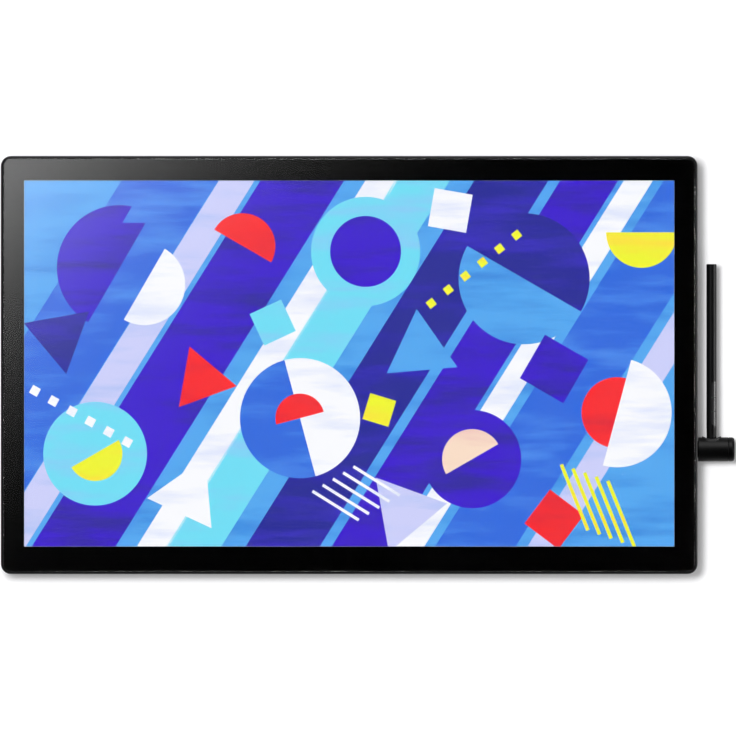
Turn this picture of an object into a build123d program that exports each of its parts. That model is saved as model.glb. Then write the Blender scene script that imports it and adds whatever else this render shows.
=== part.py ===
from build123d import *
import math
import os

os.makedirs("parts", exist_ok=True)

# A graphics tablet with screen, lying flat on its feet with the screen up.
# X runs along its width, +Y points to its top edge and Z rises from the table.
# Lengths are in millimetres. Pieces are drawn about the middle of the case and moved when they are
# saved, so that the origin lies below the middle of the whole object, with its pen holder.

# Driving dimensions
screen_width = 476.0
screen_height = 268.0
side_bezel = 17.0
top_bezel = 17.9
bottom_bezel = 20.1
corner_radius = 7.5
foot_height = 2.0
holder_reach = 27.3
holder_diameter = 17.7
holder_below_middle = 61.8
pen_length = 142.0
pen_diameter = 7.5
pen_from_case = 10.4

# Case walls and the layers of the screen, from the rear face up
rear_wall = 2.0
side_wall = 2.2
board_space = 10.3
chassis_thickness = 1.5
shield_thickness = 0.3
sensor_thickness = 0.5
tray_thickness = 0.6
guide_thickness = 2.0
film_thickness = 0.8
cell_thickness = 1.2
tape_thickness = 0.3
glass_thickness = 1.5

# Fits and margins shared by several pieces
overrun = 1.0
hair = 0.05
slip = 0.1
easy = 0.2
loose = 0.3
peg_sides = 8
hex_sides = 6

case_width = screen_width + 2 * side_bezel
case_depth = screen_height + top_bezel + bottom_bezel
half_width = case_width / 2
half_depth = case_depth / 2
screen_y = (bottom_bezel - top_bezel) / 2

rear_z = foot_height
floor_z = rear_z + rear_wall
chassis_z = floor_z + board_space
shield_z = chassis_z + chassis_thickness
sensor_z = shield_z + shield_thickness
tray_z = sensor_z + sensor_thickness
guide_z = tray_z + tray_thickness
film_z = guide_z + guide_thickness
cell_z = film_z + film_thickness
tape_z = cell_z + cell_thickness
glass_z = tape_z + tape_thickness
glass_top = glass_z + glass_thickness
case_middle_z = (rear_z + glass_top) / 2


def save(name, shape):
    """Writes one piece, moved so that the origin is below the middle of the whole object."""
    export_step(Pos(-holder_reach / 2, 0, 0) * shape, "parts/" + name + ".step")


def block(x_low, x_high, y_low, y_high, z_low, z_high):
    """A box between two corners."""
    middle = Pos((x_low + x_high) / 2, (y_low + y_high) / 2, (z_low + z_high) / 2)
    return middle * Box(x_high - x_low, y_high - y_low, z_high - z_low)


def slab(width, depth, radius, z_low, z_high, x=0, y=0):
    """A plate with round corners between two heights."""
    return extrude(Pos(x, y, z_low) * RectangleRounded(width, depth, radius), z_high - z_low)


def cut_slab(width, depth, corner, z_low, z_high, x=0, y=0):
    """A plate with slanted corners between two heights."""
    outline = chamfer(Rectangle(width, depth).vertices(), corner)
    return extrude(Pos(x, y, z_low) * outline, z_high - z_low)


def rod(radius, start, end):
    """A round bar between two points."""
    line = Vector(*end) - Vector(*start)
    return extrude(Plane(origin=start, z_dir=line) * Circle(radius), line.length)


def peg(radius, start, end):
    """A light eight-sided bar between two points, for small hidden posts, screws and their holes."""
    line = Vector(*end) - Vector(*start)
    return extrude(Plane(origin=start, z_dir=line) * RegularPolygon(radius, peg_sides), line.length)


def turned(points):
    """A solid turned about Z from a closed outline of (radius, height) points."""
    return revolve(Plane.XZ * make_face(Polyline(*points, close=True)), Axis.Z)


def group(pieces):
    """Separate solids that share one node."""
    return Compound([solid for piece in pieces for solid in piece.solids()])


# Cover glass: one sheet over the whole front, with a lightly eased upper edge
rim_width = 2.0
glass_gap = 0.15
glass_edge = 0.4
glass_width = case_width - 2 * rim_width
glass_depth = case_depth - 2 * rim_width
glass_radius = corner_radius - rim_width


def cover_glass():
    sheet = slab(glass_width, glass_depth, glass_radius, glass_z, glass_top)
    return chamfer(sheet.faces().sort_by(Axis.Z)[-1].edges(), glass_edge)


save("cover_glass", cover_glass())

# Border tape: black adhesive frame that hides all but the screen and bonds the glass to the front frame
tape_inset = 0.5
screen_margin = 0.2


def glass_tape():
    radius = glass_radius - tape_inset
    tape = slab(glass_width - 2 * tape_inset, glass_depth - 2 * tape_inset, radius, tape_z, glass_z)
    window = block(
        -screen_width / 2,
        screen_width / 2,
        screen_y - screen_height / 2,
        screen_y + screen_height / 2,
        tape_z - overrun,
        glass_z + overrun,
    )
    return tape - window


save("glass_tape", glass_tape())


def screen_sheet(margin, z_low, z_high):
    """A plain layer of the screen, wider than the lit area by a margin on each side."""
    return block(
        -screen_width / 2 - margin,
        screen_width / 2 + margin,
        screen_y - screen_height / 2 - margin,
        screen_y + screen_height / 2 + margin,
        z_low,
        z_high,
    )


# Optical bond, LCD cell, films and light guide, each a sheet under the one before
cell_margin = 3.0
tray_wall = 0.6
film_margin = cell_margin - tray_wall - screen_margin
led_bar_depth = 1.6
led_bar_gap = 0.2

save("optical_bond", screen_sheet(-screen_margin, tape_z, glass_z))
save("lcd_cell", screen_sheet(cell_margin, cell_z, tape_z))
save("film_stack", screen_sheet(film_margin, film_z, cell_z))


def light_guide():
    guide = screen_sheet(film_margin, guide_z, film_z)
    lit_edge = screen_y - screen_height / 2 - film_margin + led_bar_depth + led_bar_gap
    cut = block(-case_width, case_width, -case_depth, lit_edge, guide_z - overrun, film_z + overrun)
    return guide - cut


save("light_guide", light_guide())

# LED bar: lamps in a row along the lower edge of the light guide
led_count = 12
led_share = 0.35
led_height_share = 0.6
led_depth_share = 0.45


def led_bar():
    back = screen_y - screen_height / 2 - film_margin
    strip_depth = led_bar_depth * (1 - led_depth_share)
    bar = block(-screen_width / 2, screen_width / 2, back, back + strip_depth, guide_z, film_z)
    pitch = screen_width / led_count
    for i in range(led_count):
        x = (i - (led_count - 1) / 2) * pitch
        lamp_height = guide_thickness * led_height_share
        lamp = block(
            x - pitch * led_share,
            x + pitch * led_share,
            back + strip_depth,
            back + led_bar_depth,
            guide_z,
            guide_z + lamp_height,
        )
        bar = bar + lamp
    return bar


save("led_bar", led_bar())


# Backlight tray: folded sheet metal that holds guide, lamps and films, and carries the cell on its edge
def backlight_tray():
    outside = screen_sheet(cell_margin, tray_z, cell_z)
    return outside - screen_sheet(cell_margin - tray_wall, guide_z, cell_z + overrun)


save("backlight_tray", backlight_tray())

# Pen digitizer sensor, shield and the aluminium chassis plate that stiffens the tablet
sensor_margin = 4.0
chassis_margin = 6.0
save("digitizer_sensor", screen_sheet(sensor_margin, tray_z - sensor_thickness, tray_z))
save("shield_plate", screen_sheet(sensor_margin, shield_z, sensor_z))

# Case screws: threaded into the chassis plate through posts in the rear cover
screw_radius = 1.4
screw_head_radius = 2.8
screw_head_height = 1.6
screw_sink = 1.8
screw_post_radius = 4.2
side_screw_inset = 33.0
side_screw_y = 100.0
end_screw_x = 95.0
end_screw_inset = 25.0


def case_screw_places():
    side_x = half_width - side_screw_inset
    end_y = half_depth - end_screw_inset
    places = [(side * side_x, end * side_screw_y) for side in (-1, 1) for end in (-1, 1)]
    return places + [(side * end_screw_x, end * end_y) for side in (-1, 1) for end in (-1, 1)]


# Fixing posts: four threaded hexagonal posts under the chassis for a stand or arm, on a square pattern
mount_spacing = 100.0
mount_hole_radius = 2.0
mount_hole_depth = 10.0
mount_post_radius = 4.6
mount_flange_radius = 8.0
mount_flange_height = 1.0
mount_post_gap = 0.4
mount_places = [(x * mount_spacing / 2, y * mount_spacing / 2) for x in (-1, 1) for y in (-1, 1)]


def hexagon_bar(radius, x, y, z_low, z_high):
    return extrude(Pos(x, y, z_low) * RegularPolygon(radius, hex_sides), z_high - z_low)


def mount_posts():
    posts = []
    for x, y in mount_places:
        post = hexagon_bar(mount_post_radius, x, y, rear_z, chassis_z)
        flange_z = chassis_z - mount_flange_height
        post = post + hexagon_bar(mount_flange_radius, x, y, flange_z, chassis_z)
        hole_top = rear_z + mount_hole_depth
        posts.append(post - rod(mount_hole_radius, (x, y, rear_z - overrun), (x, y, hole_top)))
    return group(posts)


def chassis_plate():
    plate = screen_sheet(chassis_margin, chassis_z, shield_z)
    for x, y in case_screw_places():
        plate = plate - peg(screw_radius + slip, (x, y, chassis_z - overrun), (x, y, shield_z + overrun))
    return plate


save("mount_posts", mount_posts())
save("chassis_plate", chassis_plate())

# Front frame: moulded ring with the rim round the glass, the ledge under it and a lip into the cover
ledge_thickness = 2.0
frame_skirt = 0.7
glass_proud = 0.2
rim_round = 1.4
lip_height = 1.0
lip_thickness = 1.2
lip_end_inset = 14.0
ledge_gap = 0.7
parting_z = tape_z - ledge_thickness - frame_skirt
lip_inset = side_wall + hair


def front_frame():
    ring = slab(case_width, case_depth, corner_radius, parting_z, glass_top - glass_proud)
    outer_rim = ring.faces().sort_by(Axis.Z)[-1].edges()
    ring = fillet(outer_rim, rim_round)
    seat_radius = glass_radius + glass_gap
    seat_width = glass_width + 2 * glass_gap
    seat_depth = glass_depth + 2 * glass_gap
    ring = ring - slab(seat_width, seat_depth, seat_radius, tape_z, glass_top + overrun)
    inner_radius = corner_radius - side_wall
    inner_width = case_width - 2 * side_wall
    inner_depth = case_depth - 2 * side_wall
    ledge_low = tape_z - ledge_thickness
    ring = ring - slab(inner_width, inner_depth, inner_radius, parting_z - overrun, ledge_low)
    ring = ring - screen_sheet(cell_margin + ledge_gap, parting_z - overrun, glass_top)
    lip_low = parting_z - lip_height
    lip_long = case_width - 2 * lip_end_inset
    lip_short = case_depth - 2 * lip_end_inset
    lip_x = half_width - lip_inset - lip_thickness / 2
    lip_y = half_depth - lip_inset - lip_thickness / 2
    half_lip = lip_thickness / 2
    for side in (-1, 1):
        low_y = side * lip_y - half_lip
        high_y = side * lip_y + half_lip
        ring = ring + block(-lip_long / 2, lip_long / 2, low_y, high_y, lip_low, ledge_low)
        low_x = side * lip_x - half_lip
        high_x = side * lip_x + half_lip
        ring = ring + block(low_x, high_x, -lip_short / 2, lip_short / 2, lip_low, ledge_low)
    return ring


save("front_frame", front_frame())

# Fold-out legs: ribbed slabs on pins near the top edge, folded flush into the rear cover
leg_x = 150.0
leg_hinge_inset = 63.0
leg_length = 82.0
leg_hinge_width = 90.0
leg_end_width = 78.0
leg_thickness = 6.0
leg_sink = 0.3
leg_gap = 0.6
leg_skin = 1.8
leg_rib = 1.8
leg_rib_count = 3
leg_corner = 5.0
leg_pin_radius = 1.5
leg_pin_length = 9.0
recess_gap = 0.7
recess_wall = 1.6
notch_width = 30.0
notch_length = 12.0
notch_overlap = 6.0
leg_end_gap = 1.5
leg_barrel_radius = leg_thickness / 2
leg_low = rear_z + leg_sink
leg_axis_z = leg_low + leg_barrel_radius
leg_high = leg_low + leg_thickness
hinge_y = half_depth - leg_hinge_inset
leg_end_y = hinge_y - leg_length
recess_z = leg_high + recess_gap


def leg_outline(side, grow, end_y, corner):
    """The leg's tapered outline from its free end to its hinge axis, grown by a gap."""
    hinge_half = leg_hinge_width / 2 + grow
    end_half = leg_end_width / 2 + grow
    x = side * leg_x
    outline = make_face(
        Polyline(
            (x - end_half, end_y),
            (x + end_half, end_y),
            (x + hinge_half, hinge_y),
            (x - hinge_half, hinge_y),
            close=True,
        )
    )
    return fillet(outline.vertices().group_by(Axis.Y)[0], corner)


pad_width = 56.0
pad_depth = 3.0
pad_proud = 0.8
pad_inset = 0.5
pad_pocket_radius = 0.8


def leg_pad(side):
    """A rubber strip let into the leg's free end, which meets the table when the leg is out."""
    x = side * leg_x
    back_y = leg_end_y + pad_depth - pad_proud
    pad = block(
        x - pad_width / 2,
        x + pad_width / 2,
        leg_end_y - pad_proud,
        back_y,
        leg_low + pad_inset,
        leg_high - pad_inset,
    )
    front_edges = pad.faces().sort_by(Axis.Y)[0].edges()
    return fillet(front_edges, pad_pocket_radius)


def leg(side):
    x = side * leg_x
    outline = leg_outline(side, 0, leg_end_y, leg_corner)
    body = extrude(Pos(0, 0, leg_low) * outline, leg_thickness)
    half = leg_hinge_width / 2
    body = body + rod(leg_barrel_radius, (x - half, hinge_y, leg_axis_z), (x + half, hinge_y, leg_axis_z))
    pocket_top = hinge_y - leg_barrel_radius - leg_rib
    pocket_low = leg_end_y + pad_depth - pad_proud + leg_rib
    bay_count = leg_rib_count + 1
    pocket_width = leg_end_width - 2 * leg_corner
    bay_pitch = pocket_width / bay_count
    for i in range(bay_count):
        bay_x = x + (i - leg_rib_count / 2) * bay_pitch
        bay_half = (bay_pitch - leg_rib) / 2
        body = body - block(
            bay_x - bay_half,
            bay_x + bay_half,
            pocket_low,
            pocket_top,
            leg_low + leg_skin,
            leg_high + overrun,
        )
    pad_seat = block(
        x - pad_width / 2,
        x + pad_width / 2,
        leg_end_y - overrun,
        leg_end_y + pad_depth - pad_proud,
        leg_low + pad_inset,
        leg_high - pad_inset,
    )
    body = body - pad_seat
    for end in (-1, 1):
        outside = (x + end * (half + overrun), hinge_y, leg_axis_z)
        inside = (x + end * (half - leg_pin_length), hinge_y, leg_axis_z)
        body = body - rod(leg_pin_radius + hair, outside, inside)
    return body


def leg_recess(grow, z_low, z_high):
    """Both leg recesses with their finger notches, or their walls when grown."""
    cuts = []
    for side in (-1, 1):
        x = side * leg_x
        half = leg_hinge_width / 2 + leg_gap + grow
        past_y = hinge_y + leg_barrel_radius + leg_gap + grow
        end_y = leg_end_y - leg_end_gap - grow
        outline = leg_outline(side, leg_gap + grow, end_y, leg_corner)
        pocket = extrude(Pos(0, 0, z_low) * outline, z_high - z_low)
        pocket = pocket + block(x - half, x + half, hinge_y, past_y, z_low, z_high)
        notch = slab(
            notch_width + 2 * grow,
            notch_length + notch_overlap + 2 * grow,
            leg_corner,
            z_low,
            z_high,
            x,
            leg_end_y - leg_end_gap - (notch_length - notch_overlap) / 2,
        )
        cuts.append(pocket + notch)
    return cuts[0] + cuts[1]


def leg_pins():
    pins = []
    for side in (-1, 1):
        for end in (-1, 1):
            middle = side * leg_x + end * leg_hinge_width / 2
            outside = (middle + end * (leg_gap + recess_wall), hinge_y, leg_axis_z)
            inside = (middle - end * (leg_pin_length - easy), hinge_y, leg_axis_z)
            pins.append(rod(leg_pin_radius, outside, inside))
    return group(pins)


save("left_leg", leg(-1))
save("right_leg", leg(1))
save("left_leg_pad", leg_pad(-1))
save("right_leg_pad", leg_pad(1))
save("leg_pins", leg_pins())

# Boards stand on posts in the rear cover; the sockets sit half sunk in the main board's edge
board_thickness = 1.6
chip_height = 1.2
pipe_thickness = 2.0
pipe_gap = 0.5
board_post_radius = 3.0
board_screw_radius = 1.0
board_screw_head = 2.0
board_screw_head_height = 1.0
board_screw_length = 5.0
board_post_inset = 5.0
pipe_z = chassis_z - pipe_gap - pipe_thickness
chip_z = pipe_z - chip_height
board_z = chip_z - board_thickness
board_middle_z = board_z + board_thickness / 2

# Cable bay: open at the back and the top edge, with the sockets along its inner wall
bay_half_width = 75.0
bay_depth = 41.0
bay_wall = 1.6
bay_corner = 3.0
bay_roof_thickness = 1.2
bay_roof_z = chassis_z - easy - bay_roof_thickness
bay_wall_y = half_depth - bay_depth

main_board_half_width = 80.0
main_board_depth = 74.0
main_board_y = bay_wall_y - bay_wall - loose
main_board_low_y = main_board_y - main_board_depth
panel_board_half_width = 84.0
panel_board_depth = 22.0
panel_board_low_inset = 31.0
panel_board_low_y = -half_depth + panel_board_low_inset
digitizer_board_half_width = 60.0
digitizer_board_depth = 30.0
digitizer_board_low_inset = 68.0
digitizer_board_low_y = -half_depth + digitizer_board_low_inset


def board_post_pair(half, y):
    """A post near each end of a board."""
    return [(side * (half - board_post_inset), y) for side in (-1, 1)]


main_low_posts = board_post_pair(main_board_half_width, main_board_low_y + board_post_inset)
main_high_posts = board_post_pair(main_board_half_width, main_board_y - board_post_inset)
main_posts = main_low_posts + main_high_posts
panel_posts = board_post_pair(panel_board_half_width, panel_board_low_y + panel_board_depth / 2)
digitizer_board_y = digitizer_board_low_y + digitizer_board_depth / 2
digitizer_posts = board_post_pair(digitizer_board_half_width, digitizer_board_y)

# Sockets: three reversible oblong ones and one wide one with slanted lower corners
usb_width = 9.0
usb_height = 3.3
usb_length = 8.0
usb_shell = 0.3
usb_slant = 1.2
usb_tongue_width = 6.6
usb_tongue_thickness = 0.7
usb_tongue_length = 5.5
usb_spacing = 18.0
usb_count = 3
usb_first_x = -52.0
hdmi_width = 15.0
hdmi_height = 5.5
hdmi_length = 11.0
hdmi_shell = 0.4
hdmi_slant = 1.8
hdmi_tongue_width = 10.0
hdmi_tongue_thickness = 1.0
hdmi_tongue_length = 7.0
hdmi_x = 24.0
socket_back = 1.0
usb_places = [usb_first_x + i * usb_spacing for i in range(usb_count)]


def facing_top_edge(x, y, z):
    """A plane that faces the top edge, with its own Y axis pointing up."""
    return Plane(origin=(x, y, z), x_dir=(-1, 0, 0), z_dir=(0, 1, 0))


def usb_form(grow):
    """The outline of an oblong socket, with its round ends drawn as slants."""
    outline = Rectangle(usb_width + 2 * grow, usb_height + 2 * grow)
    return chamfer(outline.vertices(), usb_slant)


def usb_port(x):
    back_y = bay_wall_y - usb_length
    shell = extrude(facing_top_edge(x, back_y, board_middle_z) * usb_form(0), usb_length)
    hollow_plane = facing_top_edge(x, back_y + socket_back, board_middle_z)
    shell = shell - extrude(hollow_plane * usb_form(-usb_shell), usb_length)
    return shell + block(
        x - usb_tongue_width / 2,
        x + usb_tongue_width / 2,
        back_y,
        back_y + socket_back + usb_tongue_length,
        board_middle_z - usb_tongue_thickness / 2,
        board_middle_z + usb_tongue_thickness / 2,
    )


def hdmi_form(grow):
    half = hdmi_width / 2 + grow
    tall = hdmi_height / 2 + grow
    return make_face(
        Polyline(
            (-half, tall),
            (half, tall),
            (half, -tall + hdmi_slant),
            (half - hdmi_slant, -tall),
            (-half + hdmi_slant, -tall),
            (-half, -tall + hdmi_slant),
            close=True,
        )
    )


def hdmi_port():
    back_y = bay_wall_y - hdmi_length
    shell = extrude(facing_top_edge(hdmi_x, back_y, board_middle_z) * hdmi_form(0), hdmi_length)
    hollow_plane = facing_top_edge(hdmi_x, back_y + socket_back, board_middle_z)
    shell = shell - extrude(hollow_plane * hdmi_form(-hdmi_shell), hdmi_length)
    return shell + block(
        hdmi_x - hdmi_tongue_width / 2,
        hdmi_x + hdmi_tongue_width / 2,
        back_y,
        back_y + socket_back + hdmi_tongue_length,
        board_middle_z - hdmi_tongue_thickness / 2,
        board_middle_z + hdmi_tongue_thickness / 2,
    )


save("usb_ports", group([usb_port(x) for x in usb_places]))
save("hdmi_port", hdmi_port())

# Main board, with clearance for the fixing posts and notches for the sockets
mount_post_clearance = 1.0
chip_corner_share = 0.5
processor_size = 25.0
processor_y_share = 0.5
memory_width = 10.0
memory_depth = 14.0
memory_gap = 4.0
coil_size = 7.0
coil_pitch = 11.0
coil_count = 4
coil_x = 45.0


def board(half, low_y, depth, posts):
    plate = block(-half, half, low_y, low_y + depth, board_z, board_z + board_thickness)
    for x, y in posts:
        low = (x, y, board_z - overrun)
        high = (x, y, board_z + board_thickness + overrun)
        plate = plate - peg(board_screw_radius + slip, low, high)
    return plate


def main_board():
    plate = board(main_board_half_width, main_board_low_y, main_board_depth, main_posts)
    for x, y in mount_places:
        radius = mount_post_radius + mount_post_clearance
        plate = plate - hexagon_bar(radius, x, y, board_z - overrun, board_z + board_thickness + overrun)
    sockets = [(x, usb_width, usb_length) for x in usb_places] + [(hdmi_x, hdmi_width, hdmi_length)]
    for x, width, length in sockets:
        plate = plate - block(
            x - width / 2 - slip,
            x + width / 2 + slip,
            bay_wall_y - length - slip,
            bay_wall_y,
            board_z - overrun,
            board_z + board_thickness + overrun,
        )
    return plate


processor_y = main_board_low_y + main_board_depth * processor_y_share


def board_chips():
    """Processor, two memory chips and a row of coils on the upper side of the main board."""
    low = board_z + board_thickness
    half = processor_size / 2
    chips = [block(-half, half, processor_y - half, processor_y + half, low, pipe_z)]
    for side in (-1, 1):
        x = side * (half + memory_gap + memory_width / 2)
        chips.append(
            block(
                x - memory_width / 2,
                x + memory_width / 2,
                processor_y - memory_depth / 2 - half,
                processor_y + memory_depth / 2 - half,
                low,
                low + chip_height * chip_corner_share,
            )
        )
    for i in range(coil_count):
        x = coil_x + (i % 2) * coil_pitch
        y = processor_y + (i // 2) * coil_pitch
        chips.append(block(x, x + coil_size, y, y + coil_size, low, pipe_z))
    return group(chips)


save("main_board", main_board())
save("board_chips", board_chips())
save("panel_board", board(panel_board_half_width, panel_board_low_y, panel_board_depth, panel_posts))
save(
    "digitizer_board",
    board(digitizer_board_half_width, digitizer_board_low_y, digitizer_board_depth, digitizer_posts),
)


def board_screws():
    screws = []
    for x, y in main_posts + panel_posts + digitizer_posts:
        top = board_z + board_thickness
        head = peg(board_screw_head, (x, y, top), (x, y, top + board_screw_head_height))
        screws.append(head + peg(board_screw_radius, (x, y, top - board_screw_length), (x, y, top)))
    return group(screws)


save("board_screws", board_screws())

# Flat cable from the main board over the digitizer board to the panel board
flat_cable_width = 24.0
flat_cable_thickness = 0.3
flat_cable_x = -30.0
flat_cable_grip = 7.0


def flat_cable():
    low = board_z + board_thickness
    return block(
        flat_cable_x - flat_cable_width / 2,
        flat_cable_x + flat_cable_width / 2,
        panel_board_low_y + panel_board_depth - flat_cable_grip,
        main_board_low_y + flat_cable_grip,
        low,
        low + flat_cable_thickness,
    )


save("flat_cable", flat_cable())

# Blower: flat housing under the chassis above the left leg, with its outlet at the fins
fan_size = 40.0
fan_x = -leg_x
fan_height = 7.0
fan_wall = 1.0
fan_cavity_radius = 18.5
fan_inlet_radius = 11.0
fan_outlet_width = 30.0
fan_pin_radius = 1.0
fan_low_gap = 1.3
rotor_hub_radius = 6.0
rotor_tip_gap = 1.3
rotor_height = 3.8
rotor_blades = 9
rotor_blade = 0.8
rotor_wall = 1.0
rotor_bore_length = 3.0
fan_low_y = hinge_y + leg_barrel_radius + leg_gap + recess_wall + fan_low_gap
fan_y = fan_low_y + fan_size / 2
fan_z = chassis_z - fan_height
rotor_z = fan_z + (fan_height - rotor_height) / 2


def fan_housing():
    half = fan_size / 2
    body = block(fan_x - half, fan_x + half, fan_low_y, fan_low_y + fan_size, fan_z, chassis_z)
    low = fan_z + fan_wall
    high = chassis_z - fan_wall
    body = body - rod(fan_cavity_radius, (fan_x, fan_y, low), (fan_x, fan_y, high))
    body = body - block(
        fan_x - fan_outlet_width / 2,
        fan_x + fan_outlet_width / 2,
        fan_y,
        fan_low_y + fan_size + overrun,
        low,
        high,
    )
    inlet_low = (fan_x, fan_y, fan_z - overrun)
    body = body - rod(fan_inlet_radius, inlet_low, (fan_x, fan_y, low + overrun))
    return body + rod(fan_pin_radius, (fan_x, fan_y, rotor_z + rotor_wall), (fan_x, fan_y, high))


def fan_rotor():
    top = rotor_z + rotor_height
    rotor = rod(rotor_hub_radius, (fan_x, fan_y, rotor_z), (fan_x, fan_y, top))
    tip = fan_cavity_radius - rotor_tip_gap
    for i in range(rotor_blades):
        blade = block(
            rotor_hub_radius - rotor_blade,
            tip,
            -rotor_blade / 2,
            rotor_blade / 2,
            rotor_z + rotor_blade / 2,
            top - rotor_blade / 2,
        )
        rotor = rotor + Pos(fan_x, fan_y, 0) * Rot(0, 0, i * 360 / rotor_blades) * blade
    bore_low = rotor_z + rotor_wall - easy
    return rotor - rod(fan_pin_radius + hair, (fan_x, fan_y, bore_low), (fan_x, fan_y, top + overrun))


save("fan_housing", fan_housing())
save("fan_rotor", fan_rotor())

# Fins and heat pipe: the flat pipe runs from the processor over the recess wall to the fins
fin_count = 16
fin_depth = 8.0
fin_blade_share = 0.3
fin_base = 0.6
fin_height = 4.2
fin_gap = 0.2
pipe_width = 8.0
pipe_bend = 10.0
pipe_turn_x = -82.0
pipe_rise_inset = 12.0
pipe_shoulder_inset = 45.0
fin_half_width = fan_size / 2
fin_low_y = fan_low_y + fan_size + fin_gap
fin_z = pipe_z - fin_height


def fin_stack():
    low_x = fan_x - fin_half_width
    stack = block(low_x, fan_x + fin_half_width, fin_low_y, fin_low_y + fin_depth, fin_z, pipe_z)
    pitch = 2 * fin_half_width / fin_count
    for i in range(fin_count - 1):
        gap_low = low_x + (i + fin_blade_share) * pitch + pitch * fin_blade_share
        gap_high = low_x + (i + 1 + fin_blade_share) * pitch
        stack = stack - block(
            gap_low,
            gap_high,
            fin_low_y - overrun,
            fin_low_y + fin_depth + overrun,
            fin_z - overrun,
            pipe_z - fin_base,
        )
    return stack


def heat_pipe():
    rise_x = fan_x + fan_size / 2 + pipe_rise_inset
    fin_y = fin_low_y + fin_depth / 2
    path = FilletPolyline(
        (processor_size / 2, processor_y, pipe_z),
        (pipe_turn_x, processor_y, pipe_z),
        (rise_x, half_depth - pipe_shoulder_inset, pipe_z),
        (rise_x, fin_y, pipe_z),
        (fan_x - fin_half_width, fin_y, pipe_z),
        radius=pipe_bend,
    )
    section = Plane(origin=path @ 0, x_dir=(0, 0, 1), z_dir=path % 0)
    profile = section * Pos(pipe_thickness / 2, 0) * Rectangle(pipe_thickness, pipe_width)
    return sweep(profile, path=path)


save("fin_stack", fin_stack())
save("heat_pipe", heat_pipe())

# Rear cover: tray with sloping grip edges, leg recesses, cable bay, air slots and posts
slope_run = 16.0
slope_rise = 6.0
rear_corner = 18.0
slope_z = rear_z + slope_rise
slope_length = math.hypot(slope_run, slope_rise)
wall_slant = rear_wall * slope_length / slope_rise
vent_slot = 2.0
vent_pitch = 4.5
vent_length = 28.0
vent_count = 7
outlet_slot = 1.8
outlet_pitch = 3.6
outlet_count = 10
outlet_height = 4.0
outlet_rise = 1.4
edge_round = 1.2


def tray_form(low_inset, low_z, high_z, inset, top_z, low_corner, corner):
    """The tray's shape: a slope between two rounded outlines, and upright sides above it."""
    low_width = case_width - 2 * low_inset
    low_depth = case_depth - 2 * low_inset
    width = case_width - 2 * inset
    depth = case_depth - 2 * inset
    low = Pos(0, 0, low_z) * RectangleRounded(low_width, low_depth, low_corner)
    high = Pos(0, 0, high_z) * RectangleRounded(width, depth, corner)
    slope = loft([low.face(), high.face()], ruled=True)
    return slope + slab(width, depth, corner, high_z, top_z)


def bay_cut(grow, z_low, z_high):
    """The cable bay, or its walls when grown."""
    width = 2 * (bay_half_width + grow)
    depth = 2 * (bay_depth + grow)
    return slab(width, depth, bay_corner + grow, z_low, z_high, y=half_depth)


# Keys in the sloping grips: four a side, each with a flange behind the wall
key_length = 18.0
key_width = 9.0
key_corner = 1.5
key_gap = 0.2
key_proud = 0.6
key_flange = 0.8
key_flange_lap = 0.7
key_travel = 0.5
key_overtravel = 0.2
key_switch_height = 1.2
key_switch_size = 4.5
key_pitch = 21.0
key_group_y = 35.0
key_ease = 0.3
key_count = 4
key_board_width = 8.0
key_board_thickness = 1.0
key_board_end = 5.0
key_post_radius = 2.2
key_switch_top = -(rear_wall + slip + key_flange + key_travel + key_overtravel)
key_board_top = key_switch_top - key_switch_height
key_places = [key_group_y + ((key_count - 1) / 2 - i) * key_pitch for i in range(key_count)]
key_board_half = key_count * key_pitch / 2 + key_board_end


def grip_plane(side, y):
    """The outer face of a sloping grip: its X axis runs along the edge and its Z axis points out."""
    middle = (side * (half_width - slope_run / 2), y, rear_z + slope_rise / 2)
    return Plane(origin=middle, x_dir=(0, 1, 0), z_dir=(side * slope_rise, 0, -slope_run))


def key(side, y):
    place = grip_plane(side, y)
    foot = -(rear_wall + slip)
    cap = cut_slab(key_length, key_width, key_corner, foot, key_proud)
    cap = chamfer(cap.faces().sort_by(Axis.Z)[-1].edges(), key_ease)
    lap = key_flange_lap
    half_length = key_length / 2 + lap
    half_width_across = key_width / 2 + lap
    flange = block(
        -half_length,
        half_length,
        -half_width_across,
        half_width_across,
        foot - key_flange,
        foot,
    )
    return place * (cap + flange)


def key_window(side, y):
    low = -2 * rear_wall
    width = key_width + 2 * key_gap
    return grip_plane(side, y) * cut_slab(key_length + 2 * key_gap, width, key_corner, low, rear_wall)


def key_board(side):
    """A narrow board behind the keys of one grip, with a small switch under each key."""
    half = key_board_half
    board_low = key_board_top - key_board_thickness
    plate = block(-half, half, -key_board_width / 2, key_board_width / 2, board_low, key_board_top)
    for y in key_places:
        x = y - key_group_y
        size = key_switch_size / 2
        plate = plate + block(x - size, x + size, -size, size, key_board_top, key_switch_top)
    return grip_plane(side, key_group_y) * plate


for place_index, place_y in enumerate(key_places):
    save("left_key_" + str(place_index + 1), key(-1, place_y))
    save("right_key_" + str(place_index + 1), key(1, place_y))
save("key_boards", group([key_board(-1), key_board(1)]))

# Power button and touch slider in the upright wall of the top edge, with their small board
top_controls_z = (slope_z + parting_z) / 2
button_x = 150.0
button_length = 15.6
button_height = 3.8
button_gap = 0.2
button_sink = 0.2
button_flange = 0.8
button_lap = 0.7
button_travel = 0.6
slider_x = 118.0
slider_travel = 3.0
slider_knob = 5.0
slider_height = 2.6
slider_plate = 11.0
slider_plate_height = 4.6
slider_plate_thickness = 0.8
control_board_gap = 3.2
control_board_thickness = 1.0
control_board_height = 8.0
control_board_end = 8.0
control_switch = 3.0
control_post_radius = 2.2
inner_wall_y = half_depth - side_wall
control_board_y = inner_wall_y - slip - button_flange - control_board_gap


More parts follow.
